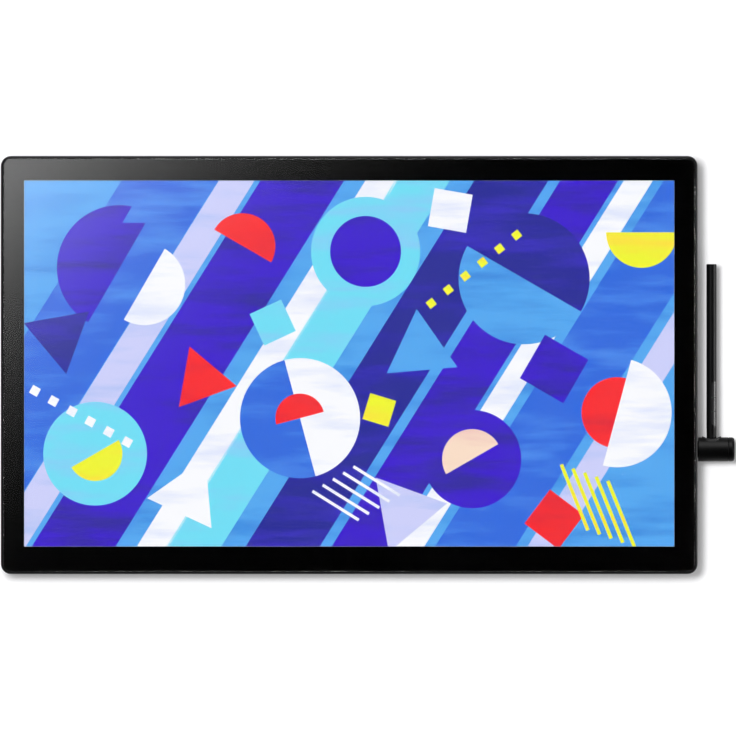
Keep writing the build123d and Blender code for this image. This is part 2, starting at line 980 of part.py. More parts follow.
def upright_slab(width, height, y_low, y_high, x):
    """A round-ended plate that stands along the top edge, between two depths."""
    plane = facing_top_edge(x, y_low, top_controls_z)
    return extrude(plane * SlotOverall(width, height), y_high - y_low)


def power_button():
    back = inner_wall_y - slip
    cap = upright_slab(button_length, button_height, back, half_depth - button_sink, button_x)
    lap = 2 * button_lap
    flange = upright_slab(button_length + lap, button_height + lap, back - button_flange, back, button_x)
    return cap + flange


def touch_slider():
    back = inner_wall_y - slip
    knob = upright_slab(slider_knob, slider_height, back, half_depth - button_sink, slider_x)
    plate = block(
        slider_x - slider_plate / 2,
        slider_x + slider_plate / 2,
        back - slider_plate_thickness,
        back,
        top_controls_z - slider_plate_height / 2,
        top_controls_z + slider_plate_height / 2,
    )
    return knob + plate


control_low_x = slider_x - slider_plate / 2 - control_board_end
control_high_x = button_x + button_length / 2 + control_board_end


def side_switch_board():
    back = control_board_y - control_board_thickness
    half_height = control_board_height / 2
    low_z = top_controls_z - half_height
    plate = block(control_low_x, control_high_x, back, control_board_y, low_z, top_controls_z + half_height)
    button_switch = control_board_gap - button_travel - key_overtravel
    slider_switch = button_flange + control_board_gap - slider_plate_thickness - easy
    for x, height in ((button_x, button_switch), (slider_x, slider_switch)):
        plate = plate + block(
            x - control_switch / 2,
            x + control_switch / 2,
            control_board_y,
            control_board_y + height,
            top_controls_z - control_switch / 2,
            top_controls_z + control_switch / 2,
        )
    return plate


save("power_button", power_button())
save("touch_slider", touch_slider())
save("side_switch_board", side_switch_board())

# Holder sockets: a metal block in each side wall, bored for the stem of the pen holder
holder_y = -holder_below_middle
holder_z = case_middle_z
spigot_radius = 2.95
spigot_length = 8.5
socket_bore_gap = 0.05
socket_bore_end = 0.5
socket_depth = 9.3
socket_width = 12.0
socket_height = 8.4
socket_flange = 1.2
socket_flange_lap = 1.4
socket_flange_rise = 0.4
socket_bore_radius = spigot_radius + socket_bore_gap


def dock_block(side, grow, x_in, x_out, wider, taller):
    width = socket_width / 2 + wider + grow
    height = socket_height / 2 + taller + grow
    low_x = min(side * x_in, side * x_out)
    high_x = max(side * x_in, side * x_out)
    return block(low_x, high_x, holder_y - width, holder_y + width, holder_z - height, holder_z + height)


def dock_socket(side):
    inner = half_width - socket_depth
    wall = half_width - side_wall
    body = dock_block(side, 0, inner, half_width, 0, 0)
    body = body + dock_block(side, 0, wall - socket_flange, wall, socket_flange_lap, socket_flange_rise)
    mouth = (side * (half_width + overrun), holder_y, holder_z)
    end = (side * (half_width - spigot_length - socket_bore_end), holder_y, holder_z)
    return body - rod(socket_bore_radius, mouth, end)


save("dock_sockets", group([dock_socket(-1), dock_socket(1)]))

# Foot strips: rubber, set a little into the rear face
foot_length = 60.0
foot_width = 9.0
foot_seat = 0.8
foot_x = 200.0
foot_inset = 25.0
foot_corner = 3.0
foot_places = [(x * foot_x, y * (half_depth - foot_inset)) for x in (-1, 1) for y in (-1, 1)]


def foot_form(x, y, grow, z_low):
    """A foot strip from a height up into the rear face, or its seat when grown."""
    width = foot_width + 2 * grow
    return cut_slab(foot_length + 2 * grow, width, foot_corner, z_low, rear_z + foot_seat, x, y)


def foot_strips():
    return group([foot_form(x, y, 0, 0) for x, y in foot_places])


save("foot_strips", foot_strips())


def rear_cover():
    upright_inset = side_wall
    inner_low_inset = slope_run - (floor_z - rear_z) * slope_run / slope_rise + wall_slant
    inner_high_z = floor_z + (inner_low_inset - upright_inset) * slope_rise / slope_run
    outside = tray_form(slope_run, rear_z, slope_z, 0, parting_z, rear_corner, corner_radius)
    low_edges = outside.faces().sort_by(Axis.Z)[0].edges()
    outside = fillet(low_edges, edge_round)
    inside = tray_form(
        inner_low_inset,
        floor_z,
        inner_high_z,
        upright_inset,
        parting_z + overrun,
        rear_corner,
        corner_radius - side_wall,
    )
    recess = leg_recess(0, rear_z - overrun, recess_z)
    bay = bay_cut(0, rear_z - overrun, bay_roof_z)
    inside = inside - leg_recess(recess_wall, rear_z, recess_z + recess_wall)
    inside = inside - bay_cut(bay_wall, rear_z, bay_roof_z + bay_roof_thickness)
    for x, y in case_screw_places():
        inside = inside - peg(screw_post_radius, (x, y, rear_z), (x, y, chassis_z))
    for x, y in main_posts + panel_posts + digitizer_posts:
        inside = inside - hexagon_bar(board_post_radius, x, y, rear_z, board_z)
    cover = outside - inside - recess - bay
    for x, y in case_screw_places():
        cover = cover - peg(screw_radius + slip, (x, y, rear_z - overrun), (x, y, chassis_z + overrun))
        head_top = rear_z + screw_sink
        cover = cover - peg(screw_head_radius + easy, (x, y, rear_z - overrun), (x, y, head_top))
    for x, y in main_posts + panel_posts + digitizer_posts:
        hole_low = board_z + board_thickness - board_screw_length - loose
        cover = cover - peg(board_screw_radius + slip, (x, y, hole_low), (x, y, board_z + overrun))
    for x, y in mount_places:
        radius = mount_post_radius + mount_post_gap
        cover = cover - hexagon_bar(radius, x, y, rear_z - overrun, floor_z + overrun)
    return cover


def cover_details(cover):
    """Windows, slots, seats and small posts that the tray carries."""
    for side in (-1, 1):
        for y in key_places:
            cover = cover - key_window(side, y)
        for end in (-1, 1):
            place = grip_plane(side, key_group_y)
            x = end * (key_board_half - key_post_radius)
            cover = cover + place * peg(key_post_radius, (x, 0, key_board_top), (x, 0, -rear_wall / 2))
        inner = half_width - socket_depth - overrun
        wall = half_width - side_wall
        cover = cover - dock_block(side, slip, inner, half_width + overrun, 0, 0)
        cover = cover - dock_block(side, slip, inner, wall, socket_flange_lap, socket_flange_rise)
    for end_x in (control_low_x + control_post_radius, control_high_x - control_post_radius):
        start = (end_x, control_board_y, top_controls_z)
        cover = cover + peg(control_post_radius, start, (end_x, half_depth - side_wall / 2, top_controls_z))
    gap = 2 * button_gap
    outside_y = half_depth + overrun
    inside_y = inner_wall_y - overrun
    window = upright_slab(button_length + gap, button_height + gap, inside_y, outside_y, button_x)
    cover = cover - window
    slot_length = slider_knob + slider_travel + gap
    slot_x = slider_x + slider_travel / 2
    cover = cover - upright_slab(slot_length, slider_height + gap, inside_y, outside_y, slot_x)
    for x, y in foot_places:
        cover = cover - foot_form(x, y, hair, rear_z - overrun)
    for i in range(vent_count):
        x = fan_x + (i - (vent_count - 1) / 2) * vent_pitch
        cover = cover - block(
            x - vent_slot / 2,
            x + vent_slot / 2,
            fan_y - vent_length / 2,
            fan_y + vent_length / 2,
            rear_z - overrun,
            floor_z + overrun,
        )
    for i in range(outlet_count):
        x = fan_x + (i - (outlet_count - 1) / 2) * outlet_pitch
        low_z = slope_z + outlet_rise
        cover = cover - block(
            x - outlet_slot / 2,
            x + outlet_slot / 2,
            inner_wall_y - overrun,
            half_depth + overrun,
            low_z,
            low_z + outlet_height,
        )
    for x in usb_places:
        plane = facing_top_edge(x, bay_wall_y - bay_wall - overrun, board_middle_z)
        cover = cover - extrude(plane * usb_form(slip), bay_wall + 2 * overrun)
    plane = facing_top_edge(hdmi_x, bay_wall_y - bay_wall - overrun, board_middle_z)
    cover = cover - extrude(plane * hdmi_form(slip), bay_wall + 2 * overrun)
    half = leg_hinge_width / 2
    for side in (-1, 1):
        for end in (-1, 1):
            inside = (side * leg_x + end * half, hinge_y, leg_axis_z)
            outside = (side * leg_x + end * (half + leg_gap + recess_wall), hinge_y, leg_axis_z)
            cover = cover - peg(leg_pin_radius + easy, inside, outside)
    return cover


save("rear_cover", cover_details(rear_cover()))


def case_screws():
    screws = []
    for x, y in case_screw_places():
        head_low = rear_z + screw_sink - screw_head_height
        head_high = rear_z + screw_sink
        head = peg(screw_head_radius, (x, y, head_low), (x, y, head_high))
        screws.append(head + peg(screw_radius, (x, y, head_high), (x, y, shield_z)))
    return group(screws)


save("case_screws", case_screws())

# Pen holder: a round barrel that swivels on a stem plugged into the socket in the case
hub_radius = 6.0
hub_length = 3.2
hub_gap = 0.08
hub_groove_depth = 0.6
hub_groove_start = 1.5
hub_groove_end = 2.7
hub_ease = 0.4
bead_side_gap = 0.2
bead_gap = 0.15
barrel_start = 0.6
counterbore_end = 3.6
washer_inner = 3.0
washer_outer = 5.5
holder_radius = holder_diameter / 2
cap_thickness = 4.4
cap_seam = 0.1
cap_round = 1.8
cap_round_share = 0.3
cap_ease = 0.3
carrier_length = 5.8
carrier_radius = 6.4
carrier_gap = 0.08
carrier_end_gap = 0.4
barrel_end = holder_reach - cap_thickness - cap_seam

holder_place = Plane(origin=(half_width, holder_y, holder_z), x_dir=(0, 1, 0), z_dir=(1, 0, 0))


def holder_stem():
    groove = hub_radius - hub_groove_depth
    return turned(
        [
            (0, -spigot_length),
            (spigot_radius - hub_ease, -spigot_length),
            (spigot_radius, -spigot_length + hub_ease),
            (spigot_radius, 0),
            (hub_radius, 0),
            (hub_radius, hub_groove_start),
            (groove, hub_groove_start),
            (groove, hub_groove_end),
            (hub_radius - hub_ease / 2, hub_groove_end),
            (hub_radius - hub_ease, hub_length),
            (0, hub_length),
        ]
    )


def holder_washer():
    low = hub_length + hair
    high = counterbore_end
    return turned([(washer_inner, low), (washer_outer, low), (washer_outer, high), (washer_inner, high)])


# Pen: its outline is given by radius against the distance from the tip
pen_taper = 0.13
pen_front_radius = pen_diameter / 2 - pen_taper
nib_show = 2.0
nib_mouth_radius = 1.5
cone_length = 15.0
cone_bulge = 0.22
pen_taper_end = 22.0
tail_cap_length = 2.5
tail_cap_ease = 0.4
tip_depth = 6.3
seat_gap = 0.3
seat_end_gap = 0.6


# Collar: rubber ring round the pen's hole, with a raised lip that follows the barrel
collar_radius = 7.1
collar_proud = 0.7
collar_depth = 1.4
collar_funnel = 6.5
collar_bore_gap = 0.3
collar_bore_depth = 4.6
sleeve_radius = 5.0
sleeve_end = 1.0
pen_bore_radius = pen_front_radius + collar_bore_gap

pen_spot = Plane(
    origin=(half_width + pen_from_case, holder_y - tip_depth, holder_z), x_dir=(1, 0, 0), z_dir=(0, 1, 0)
)


def along_pen(radius, low, high):
    """A round bar on the pen's axis, between two distances from the holder's axis."""
    x = half_width + pen_from_case
    return rod(radius, (x, holder_y + low, holder_z), (x, holder_y + high, holder_z))


def along_holder(radius, low, high):
    """A round bar on the holder's axis, between two distances from the case."""
    return rod(radius, (half_width + low, holder_y, holder_z), (half_width + high, holder_y, holder_z))


def collar_block(grow):
    """The collar without its funnel, or the pocket for it when grown."""
    lip = holder_radius + collar_proud
    flange = along_pen(collar_radius + grow, 0, lip + overrun)
    ring_low = pen_from_case - collar_radius - overrun
    ring_high = pen_from_case + collar_radius + overrun
    ring = along_holder(lip + 2 * grow, ring_low, ring_high)
    ring = ring - along_holder(holder_radius - collar_depth - grow, ring_low, ring_high)
    sleeve = along_pen(sleeve_radius + grow, sleeve_end - grow, holder_radius - collar_depth / 2)
    return flange & ring + sleeve


def pen_hole():
    """The pocket below the collar that takes the pen's front, with its clearance."""
    mouth = nib_mouth_radius + seat_gap + cone_bulge
    wide = pen_front_radius + seat_gap
    low = -seat_end_gap
    return pen_spot * turned([(0, low), (mouth, low), (mouth, nib_show), (wide, cone_length), (0, cone_length)])


def holder_barrel():
    body = along_holder(holder_radius, barrel_start, barrel_end)
    body = chamfer(body.faces().sort_by(Axis.X)[0].edges(), cap_ease)
    body = chamfer(body.faces().sort_by(Axis.X)[-1].edges(), cap_ease)
    bore = hub_radius + hub_gap
    bead = hub_radius - hub_groove_depth + bead_gap
    bead_low = hub_groove_start + bead_side_gap
    bead_high = hub_groove_end - bead_side_gap
    counterbore = turned(
        [
            (0, barrel_start - overrun),
            (bore, barrel_start - overrun),
            (bore, bead_low),
            (bead, bead_low),
            (bead, bead_high),
            (bore, bead_high),
            (bore, counterbore_end),
            (0, counterbore_end),
        ]
    )
    body = body - holder_place * counterbore
    store_end = barrel_end - carrier_length - carrier_end_gap
    body = body - along_holder(carrier_radius + carrier_gap, store_end, barrel_end + overrun)
    return body - collar_block(hair) - pen_hole()


def holder_collar():
    body = collar_block(0)
    lip = holder_radius + collar_proud
    straight = holder_radius - collar_bore_depth
    funnel = Plane(
        origin=(half_width + pen_from_case, holder_y, holder_z), x_dir=(1, 0, 0), z_dir=(0, 1, 0)
    ) * turned(
        [
            (0, sleeve_end - overrun),
            (pen_bore_radius, sleeve_end - overrun),
            (pen_bore_radius, straight),
            (collar_funnel, lip),
            (collar_funnel, lip + overrun),
            (0, lip + overrun),
        ]
    )
    return body - funnel


save("holder_stem", holder_place * holder_stem())
save("holder_washer", holder_place * holder_washer())
save("holder_barrel", holder_barrel())
save("holder_collar", holder_collar())

# Nib drawer: the holder's end cap with a carrier, drilled for spare nibs
nib_radius = 0.8
nib_length = 8.6
nib_hole_gap = 0.1
nib_hole_depth = 8.9
nib_ring_radius = 4.2
spare_nib_count = 6
nib_tip_ease = 0.4


def nib_ring():
    for i in range(spare_nib_count):
        angle = 2 * math.pi * i / spare_nib_count
        yield nib_ring_radius * math.cos(angle), nib_ring_radius * math.sin(angle)


def nib_drawer():
    cap_low = barrel_end + cap_seam
    carrier_low = barrel_end - carrier_length
    first = cap_round * cap_round_share
    cap = holder_place * turned(
        [
            (0, cap_low),
            (holder_radius - cap_ease, cap_low),
            (holder_radius, cap_low + cap_ease),
            (holder_radius, holder_reach - cap_round),
            (holder_radius - first, holder_reach - first),
            (holder_radius - cap_round, holder_reach),
            (0, holder_reach),
        ]
    )
    body = cap + along_holder(carrier_radius, carrier_low, cap_low)
    for y, z in nib_ring():
        start = (half_width + carrier_low - overrun, holder_y + y, holder_z + z)
        end = (half_width + carrier_low + nib_hole_depth, holder_y + y, holder_z + z)
        body = body - peg(nib_radius + nib_hole_gap, start, end)
    return body


def spare_nibs():
    nibs = []
    carrier_low = barrel_end - carrier_length
    for y, z in nib_ring():
        end_x = half_width + carrier_low + nib_hole_depth
        start = (end_x - nib_length, holder_y + y, holder_z + z)
        nib = peg(nib_radius, start, (end_x, holder_y + y, holder_z + z))
        nibs.append(chamfer(nib.faces().sort_by(Axis.X)[0].edges(), nib_tip_ease))
    return group(nibs)


save("nib_drawer", nib_drawer())
save("spare_nibs", spare_nibs())

# Pen barrel: slim tapered tube with a round-ended slot for the side switches
pen_wall = 0.95
pen_cavity_start = 15.5
nib_bore_gap = 0.15
switch_angle = 35.0
switch_far = 56.0
rear_switch_length = 11.7
middle_switch_length = 10.2
front_switch_length = 10.6
switch_width = 4.3
switch_gap = 0.15
switch_split = 0.3
switch_proud = 0.2
switch_travel = 0.3
switch_floor = 2.95
switch_near = switch_far - rear_switch_length - middle_switch_length - front_switch_length
core_radius = 2.4
coil_length = 14.0
coil_start = 16.0
core_board_width = 4.2
core_board_thickness = 1.2
core_end = 132.0
nib_depth = 20.0
nib_stop = 21.0

switch_turn = math.radians(switch_angle)
pen_place = Plane(
    origin=(half_width + pen_from_case, holder_y - tip_depth, holder_z),
    x_dir=(math.sin(switch_turn), 0, math.cos(switch_turn)),
    z_dir=(0, 1, 0),
)
pen_tube_end = pen_length - tail_cap_length


def slot_block(grow, low, high):
    """The slot for the side switches: round at both ends, cut from the axis outwards."""
    middle = (switch_near + switch_far) / 2
    plane = Plane(origin=(0, 0, middle), x_dir=(0, 0, 1), z_dir=(1, 0, 0))
    outline = SlotOverall(switch_far - switch_near + 2 * grow, switch_width + 2 * grow)
    solid = extrude(plane * outline, pen_diameter)
    keep = block(-pen_diameter, pen_diameter, -pen_diameter, pen_diameter, low, high)
    return solid & keep


def pen_barrel():
    middle_radius = (nib_mouth_radius + pen_front_radius) / 2 + cone_bulge
    middle = (middle_radius, (nib_show + cone_length) / 2)
    cone = ThreePointArc((nib_mouth_radius, nib_show), middle, (pen_front_radius, cone_length))
    outline = [
        Line((0, nib_show), cone @ 0),
        cone,
        Line(cone @ 1, (pen_diameter / 2, pen_taper_end)),
        Line((pen_diameter / 2, pen_taper_end), (pen_diameter / 2, pen_tube_end)),
        Line((pen_diameter / 2, pen_tube_end), (0, pen_tube_end)),
        Line((0, pen_tube_end), (0, nib_show)),
    ]
    tube = revolve(Plane.XZ * make_face(Wire(outline)), Axis.Z)
    inner = pen_diameter / 2 - pen_wall
    tube = tube - rod(inner, (0, 0, pen_cavity_start), (0, 0, pen_tube_end + overrun))
    tube = tube - rod(nib_radius + nib_bore_gap, (0, 0, 0), (0, 0, pen_cavity_start + overrun))
    return tube - slot_block(switch_gap, 0, pen_length)


def pen_switch(low, high):
    """One side switch: a piece of the pen's skin, a little proud of it."""
    skin = rod(pen_diameter / 2 + switch_proud, (0, 0, low), (0, 0, high))
    skin = skin - rod(switch_floor, (0, 0, 0), (0, 0, pen_length + overrun))
    return skin & slot_block(0, low + switch_split / 2, high - switch_split / 2)


def pen_core():
    """Circuit board with the coil and ferrite in front, where the nib goes in."""
    coil = rod(core_radius, (0, 0, coil_start), (0, 0, coil_start + coil_length))
    half = core_board_width / 2
    thin = core_board_thickness / 2
    strip = block(-thin, thin, -half, half, coil_start + coil_length, core_end)
    return coil + strip - rod(nib_radius + nib_hole_gap, (0, 0, 0), (0, 0, nib_stop))


def pen_nib():
    tip = rod(nib_radius, (0, 0, 0), (0, 0, nib_depth))
    return chamfer(tip.faces().sort_by(Axis.Z)[0].edges(), nib_tip_ease)


def pen_tail_cap():
    inner = pen_diameter / 2 - pen_wall - hair
    outer = pen_diameter / 2
    cap = rod(outer, (0, 0, pen_tube_end), (0, 0, pen_length))
    cap = chamfer(cap.faces().sort_by(Axis.Z)[-1].edges(), tail_cap_ease)
    return cap + rod(inner, (0, 0, core_end + easy), (0, 0, pen_tube_end))


rear_switch_low = switch_far - rear_switch_length
middle_switch_low = rear_switch_low - middle_switch_length
save("pen_barrel", pen_place * pen_barrel())
save("pen_core", pen_place * pen_core())
save("pen_nib", pen_place * pen_nib())
save("pen_tail_cap", pen_place * pen_tail_cap())
save("pen_switch_rear", pen_place * pen_switch(rear_switch_low, switch_far + overrun))
save("pen_switch_middle", pen_place * pen_switch(middle_switch_low, rear_switch_low))
save("pen_switch_front", pen_place * pen_switch(switch_near - overrun, middle_switch_low))
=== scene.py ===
import bpy
import math
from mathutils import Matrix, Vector


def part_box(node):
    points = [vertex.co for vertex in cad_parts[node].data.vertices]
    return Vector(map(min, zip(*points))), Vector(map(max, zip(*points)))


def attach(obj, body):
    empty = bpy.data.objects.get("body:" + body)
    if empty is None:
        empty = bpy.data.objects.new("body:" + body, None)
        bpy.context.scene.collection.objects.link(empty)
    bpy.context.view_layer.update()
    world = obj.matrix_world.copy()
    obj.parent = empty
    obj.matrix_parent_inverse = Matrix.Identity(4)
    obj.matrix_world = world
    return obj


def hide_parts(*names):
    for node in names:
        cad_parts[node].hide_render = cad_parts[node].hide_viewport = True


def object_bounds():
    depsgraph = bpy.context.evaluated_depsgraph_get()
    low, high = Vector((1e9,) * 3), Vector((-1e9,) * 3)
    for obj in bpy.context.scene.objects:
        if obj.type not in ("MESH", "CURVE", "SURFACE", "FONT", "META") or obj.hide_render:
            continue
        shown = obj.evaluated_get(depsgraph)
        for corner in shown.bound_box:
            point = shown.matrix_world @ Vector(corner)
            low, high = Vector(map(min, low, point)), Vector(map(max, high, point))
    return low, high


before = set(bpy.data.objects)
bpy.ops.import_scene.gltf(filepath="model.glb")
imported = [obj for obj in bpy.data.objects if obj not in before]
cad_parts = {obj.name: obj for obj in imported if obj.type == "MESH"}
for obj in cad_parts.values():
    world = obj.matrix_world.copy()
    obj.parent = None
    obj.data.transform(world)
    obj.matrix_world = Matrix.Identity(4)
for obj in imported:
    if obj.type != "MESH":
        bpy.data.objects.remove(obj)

cad_low, cad_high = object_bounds()

# The table and the studio round it
# A plain white table top, so wide that no view shows its edge, in a white room. What is glossy mirrors a
# dark ceiling instead, as in a product studio, with a few soft lit stretches of wall.
scene = bpy.context.scene
scene.view_settings.view_transform = "Standard"
glass_low, glass_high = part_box("cover_glass")
case_x = (glass_low.x + glass_high.x) / 2
pure_white = (1.0, 1.0, 1.0, 1.0)
table_size = 60.0
table_white = (0.92, 0.92, 0.93, 1.0)
table_roughness = 0.9
table_glow = 0.09
room_light = 0.38
backdrop_light = 1.0
# Each lit stretch of wall: the way it lies, its half width in degrees and its strength
lit_walls = (
    ((0.0, 0.79, 0.62), 34.0, 9.0),
    ((0.95, 0.0, 0.31), 20.0, 24.0),
    ((-0.94, 0.17, 0.30), 30.0, 1.0),
    ((0.0, -0.98, 0.17), 24.0, 0.5),
)


def new_material(name):
    """An empty node material with its nodes, its links and its main shader."""
    material = bpy.data.materials.new(name)
    material.use_nodes = True
    nodes = material.node_tree.nodes
    return material, nodes, material.node_tree.links, nodes["Principled BSDF"]


def reckon(tree, operation, first, second):
    """Adds a sum of two values to a node tree. Each value is a number or what another node gives."""
    node = tree.nodes.new("ShaderNodeMath")
    node.operation = operation
    for value, socket in zip((first, second), node.inputs):
        if isinstance(value, float):
            socket.default_value = value
        else:
            tree.links.new(value, socket)
    return node.outputs[0]


def pick_shader(tree, factor, first, second):
    """The first shader where the factor is 0, and the second where it is 1."""
    mix = tree.nodes.new("ShaderNodeMixShader")
    for source, socket in zip((factor, first, second), mix.inputs):
        tree.links.new(source, socket)
    return mix.outputs[0]


def white_table():
    """Matt white from above and clear from below. It glows a little where it is seen or mirrored."""
    material, nodes, links, shader = new_material("white_table")
    tree = material.node_tree
    shader.inputs["Base Color"].default_value = table_white
    shader.inputs["Roughness"].default_value = table_roughness
    shader.inputs["Specular IOR Level"].default_value = 0.0
    shader.inputs["Emission Color"].default_value = pure_white
    ray = nodes.new("ShaderNodeLightPath")
    seen = reckon(tree, "MAXIMUM", ray.outputs["Is Camera Ray"], ray.outputs["Is Glossy Ray"])
    through = reckon(tree, "MAXIMUM", seen, ray.outputs["Is Transmission Ray"])
    links.new(reckon(tree, "MULTIPLY", through, table_glow), shader.inputs["Emission Strength"])
    side = nodes.new("ShaderNodeNewGeometry")
    clear = nodes.new("ShaderNodeBsdfTransparent")
    surface = pick_shader(tree, side.outputs["Backfacing"], shader.outputs[0], clear.outputs[0])
    links.new(surface, nodes["Material Output"].inputs["Surface"])
    material.cycles.emission_sampling = "NONE"
    return material


def studio_world():
    """White to the camera, softly bright to what is matt, and dark with its lit walls to what is glossy."""
    world = bpy.data.worlds.new("studio")
    world.use_nodes = True
    world.cycles.sampling_method = "NONE"
    tree = world.node_tree
    room = tree.nodes["Background"]
    backdrop = tree.nodes.new("ShaderNodeBackground")
    for light, strength in ((room, room_light), (backdrop, backdrop_light)):
        light.inputs["Color"].default_value = pure_white
        light.inputs["Strength"].default_value = strength
    way = tree.nodes.new("ShaderNodeTexCoord")
    brightness = 0.0
    for toward, half_angle, strength in lit_walls:
        near = tree.nodes.new("ShaderNodeVectorMath")
        near.operation = "DOT_PRODUCT"
        near.inputs[1].default_value = toward
        patch = tree.nodes.new("ShaderNodeMapRange")
        patch.interpolation_type = "SMOOTHSTEP"
        patch.inputs["From Min"].default_value = math.cos(math.radians(half_angle))
        patch.inputs["To Max"].default_value = strength
        tree.links.new(way.outputs["Generated"], near.inputs[0])
        tree.links.new(near.outputs["Value"], patch.inputs["Value"])
        brightness = reckon(tree, "ADD", brightness, patch.outputs["Result"])
    walls = tree.nodes.new("ShaderNodeBackground")
    tree.links.new(brightness, walls.inputs["Strength"])
    ray = tree.nodes.new("ShaderNodeLightPath")
    unseen = pick_shader(tree, ray.outputs["Is Glossy Ray"], room.outputs[0], walls.outputs[0])
    surface = pick_shader(tree, ray.outputs["Is Camera Ray"], unseen, backdrop.outputs[0])
    tree.links.new(surface, tree.nodes["World Output"].inputs["Surface"])
    return world


scene.world = studio_world()
bpy.ops.object.select_all(action="DESELECT")
bpy.ops.mesh.primitive_plane_add(size=table_size, location=(0.0, 0.0, cad_low.z))
table = bpy.context.object
table.name = "table_top"
table.data.materials.append(white_table())

# Camera: straight above the tablet, far off with a very long lens, framed as in the photograph
# The picture is 538.6 mm wide at the height of the glass.
view_width = 0.5386
view_lens = 600.0
view_sensor = 36.0
view_x = 0.0001
view_y = -0.0022
view_reach = 50.0
view_height = view_width * view_lens / view_sensor
camera_data = bpy.data.cameras.new("camera")
camera_data.lens = view_lens
camera_data.sensor_width = view_sensor
camera_data.clip_end = view_reach
camera = bpy.data.objects.new("camera", camera_data)
scene.collection.objects.link(camera)
camera.location = (view_x, view_y, glass_high.z + view_height)
scene.camera = camera

# Lamps: a soft key light from the upper left, a weak one opposite, and a level softbox over the tablet
# The softbox is turned so that the upper left corner of the glass mirrors it, and it fades to the middle.
# The two lamps light the table and the object, but only the softbox and the lit walls show in the gloss.


def soft_lamp(name, place, width, depth, power):
    """A lamp that faces the origin and can't be seen itself."""
    data = bpy.data.lights.new(name, "AREA")
    data.shape = "RECTANGLE"
    data.size = width
    data.size_y = depth
    data.energy = power
    lamp = bpy.data.objects.new(name, data)
    scene.collection.objects.link(lamp)
    lamp.location = place
    lamp.rotation_mode = "QUATERNION"
    lamp.rotation_quaternion = Vector(place).to_track_quat("Z", "Y")
    lamp.visible_camera = False
    lamp.visible_glossy = False
    lamp.visible_transmission = False


soft_lamp("key_lamp", place=(-0.46, 0.37, 2.6), width=0.90, depth=0.74, power=60.0)
soft_lamp("fill_lamp", place=(1.9, -1.2, 1.4), width=1.6, depth=1.6, power=3.0)

softbox_height = 1.6
softbox_radius = 1.4
softbox_turn = math.radians(42.0)
softbox_strength = 4.8
softbox_fade_start = 0.02
softbox_fade_end = 0.335
softbox_fade_curve = 3.6


def softbox_glow():
    """Brighter and brighter along the softbox's own Y, in a curve."""
    material, nodes, links, shader = new_material("softbox_glow")
    tree = material.node_tree
    nodes.remove(shader)
    place = nodes.new("ShaderNodeTexCoord")
    split = nodes.new("ShaderNodeSeparateXYZ")
    ramp = nodes.new("ShaderNodeMapRange")
    ramp.inputs["From Min"].default_value = softbox_fade_start
    ramp.inputs["From Max"].default_value = softbox_fade_end
    links.new(place.outputs["Object"], split.inputs[0])
    links.new(split.outputs["Y"], ramp.inputs["Value"])
    curve = reckon(tree, "POWER", ramp.outputs[0], softbox_fade_curve)
    glow = nodes.new("ShaderNodeEmission")
    links.new(reckon(tree, "MULTIPLY", curve, softbox_strength), glow.inputs["Strength"])
    links.new(glow.outputs[0], nodes["Material Output"].inputs["Surface"])
    return material


bpy.ops.object.select_all(action="DESELECT")
bpy.ops.mesh.primitive_circle_add(
    vertices=3,
    radius=softbox_radius,
    fill_type="NGON",
    location=(0.0, 0.0, softbox_height),
    rotation=(0.0, 0.0, softbox_turn),
)
softbox = bpy.context.object
softbox.name = "softbox"
softbox.data.materials.append(softbox_glow())
softbox.visible_camera = False
softbox.visible_diffuse = False
softbox.visible_shadow = False
softbox.visible_transmission = False

# Rear cover and fold-out legs: black plastic mouldings with a fine spark-eroded grain
# The grain breaks up the light, and the colour varies a little, as on any moulding.
case_black = (0.030, 0.030, 0.033, 1.0)
leg_black = (0.036, 0.036, 0.039, 1.0)
grain_strength = 0.5
cloud_scale = 38.0
gloss_spread = 0.06


def moulded_plastic(name, colour, roughness, grain=2600.0, depth=0.00003, tone=0.25, shine=0.2):
    """A moulded plastic: fine grain in the surface, and slow changes of tone and gloss.

    grain is how fine it is, depth how deep in metres, tone how much the colour changes, and shine how far
    it mirrors.
    """
    material, nodes, links, shader = new_material(name)
    shader.inputs["Specular IOR Level"].default_value = shine
    place = nodes.new("ShaderNodeTexCoord")
    fine = nodes.new("ShaderNodeTexNoise")
    fine.inputs["Scale"].default_value = grain
    fine.inputs["Detail"].default_value = 3.0
    slow = nodes.new("ShaderNodeTexNoise")
    slow.inputs["Scale"].default_value = cloud_scale
    slow.inputs["Detail"].default_value = 4.0
    bump = nodes.new("ShaderNodeBump")
    bump.inputs["Strength"].default_value = grain_strength
    bump.inputs["Distance"].default_value = depth
    shade = nodes.new("ShaderNodeMix")
    shade.data_type = "RGBA"
    shade.inputs["A"].default_value = [value * (1.0 - tone) for value in colour[:3]] + [1.0]
    shade.inputs["B"].default_value = [value * (1.0 + tone) for value in colour[:3]] + [1.0]
    gloss = nodes.new("ShaderNodeMapRange")
    gloss.inputs["To Min"].default_value = roughness - gloss_spread
    gloss.inputs["To Max"].default_value = roughness + gloss_spread
    links.new(place.outputs["Object"], fine.inputs["Vector"])
    links.new(place.outputs["Object"], slow.inputs["Vector"])
    links.new(fine.outputs["Fac"], bump.inputs["Height"])
    links.new(bump.outputs["Normal"], shader.inputs["Normal"])
    links.new(slow.outputs["Fac"], shade.inputs["Factor"])
    links.new(shade.outputs["Result"], shader.inputs["Base Color"])
    links.new(slow.outputs["Fac"], gloss.inputs["Value"])
    links.new(gloss.outputs["Result"], shader.inputs["Roughness"])
    return material


def dress(material, *names):
    """Gives CAD nodes their finish."""
    for name in names:
        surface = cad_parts[name].data
        surface.materials.clear()
        surface.materials.append(material)


dress(moulded_plastic("case_plastic", case_black, roughness=0.5), "rear_cover")
dress(moulded_plastic("leg_plastic", leg_black, roughness=0.46), "left_leg", "right_leg")

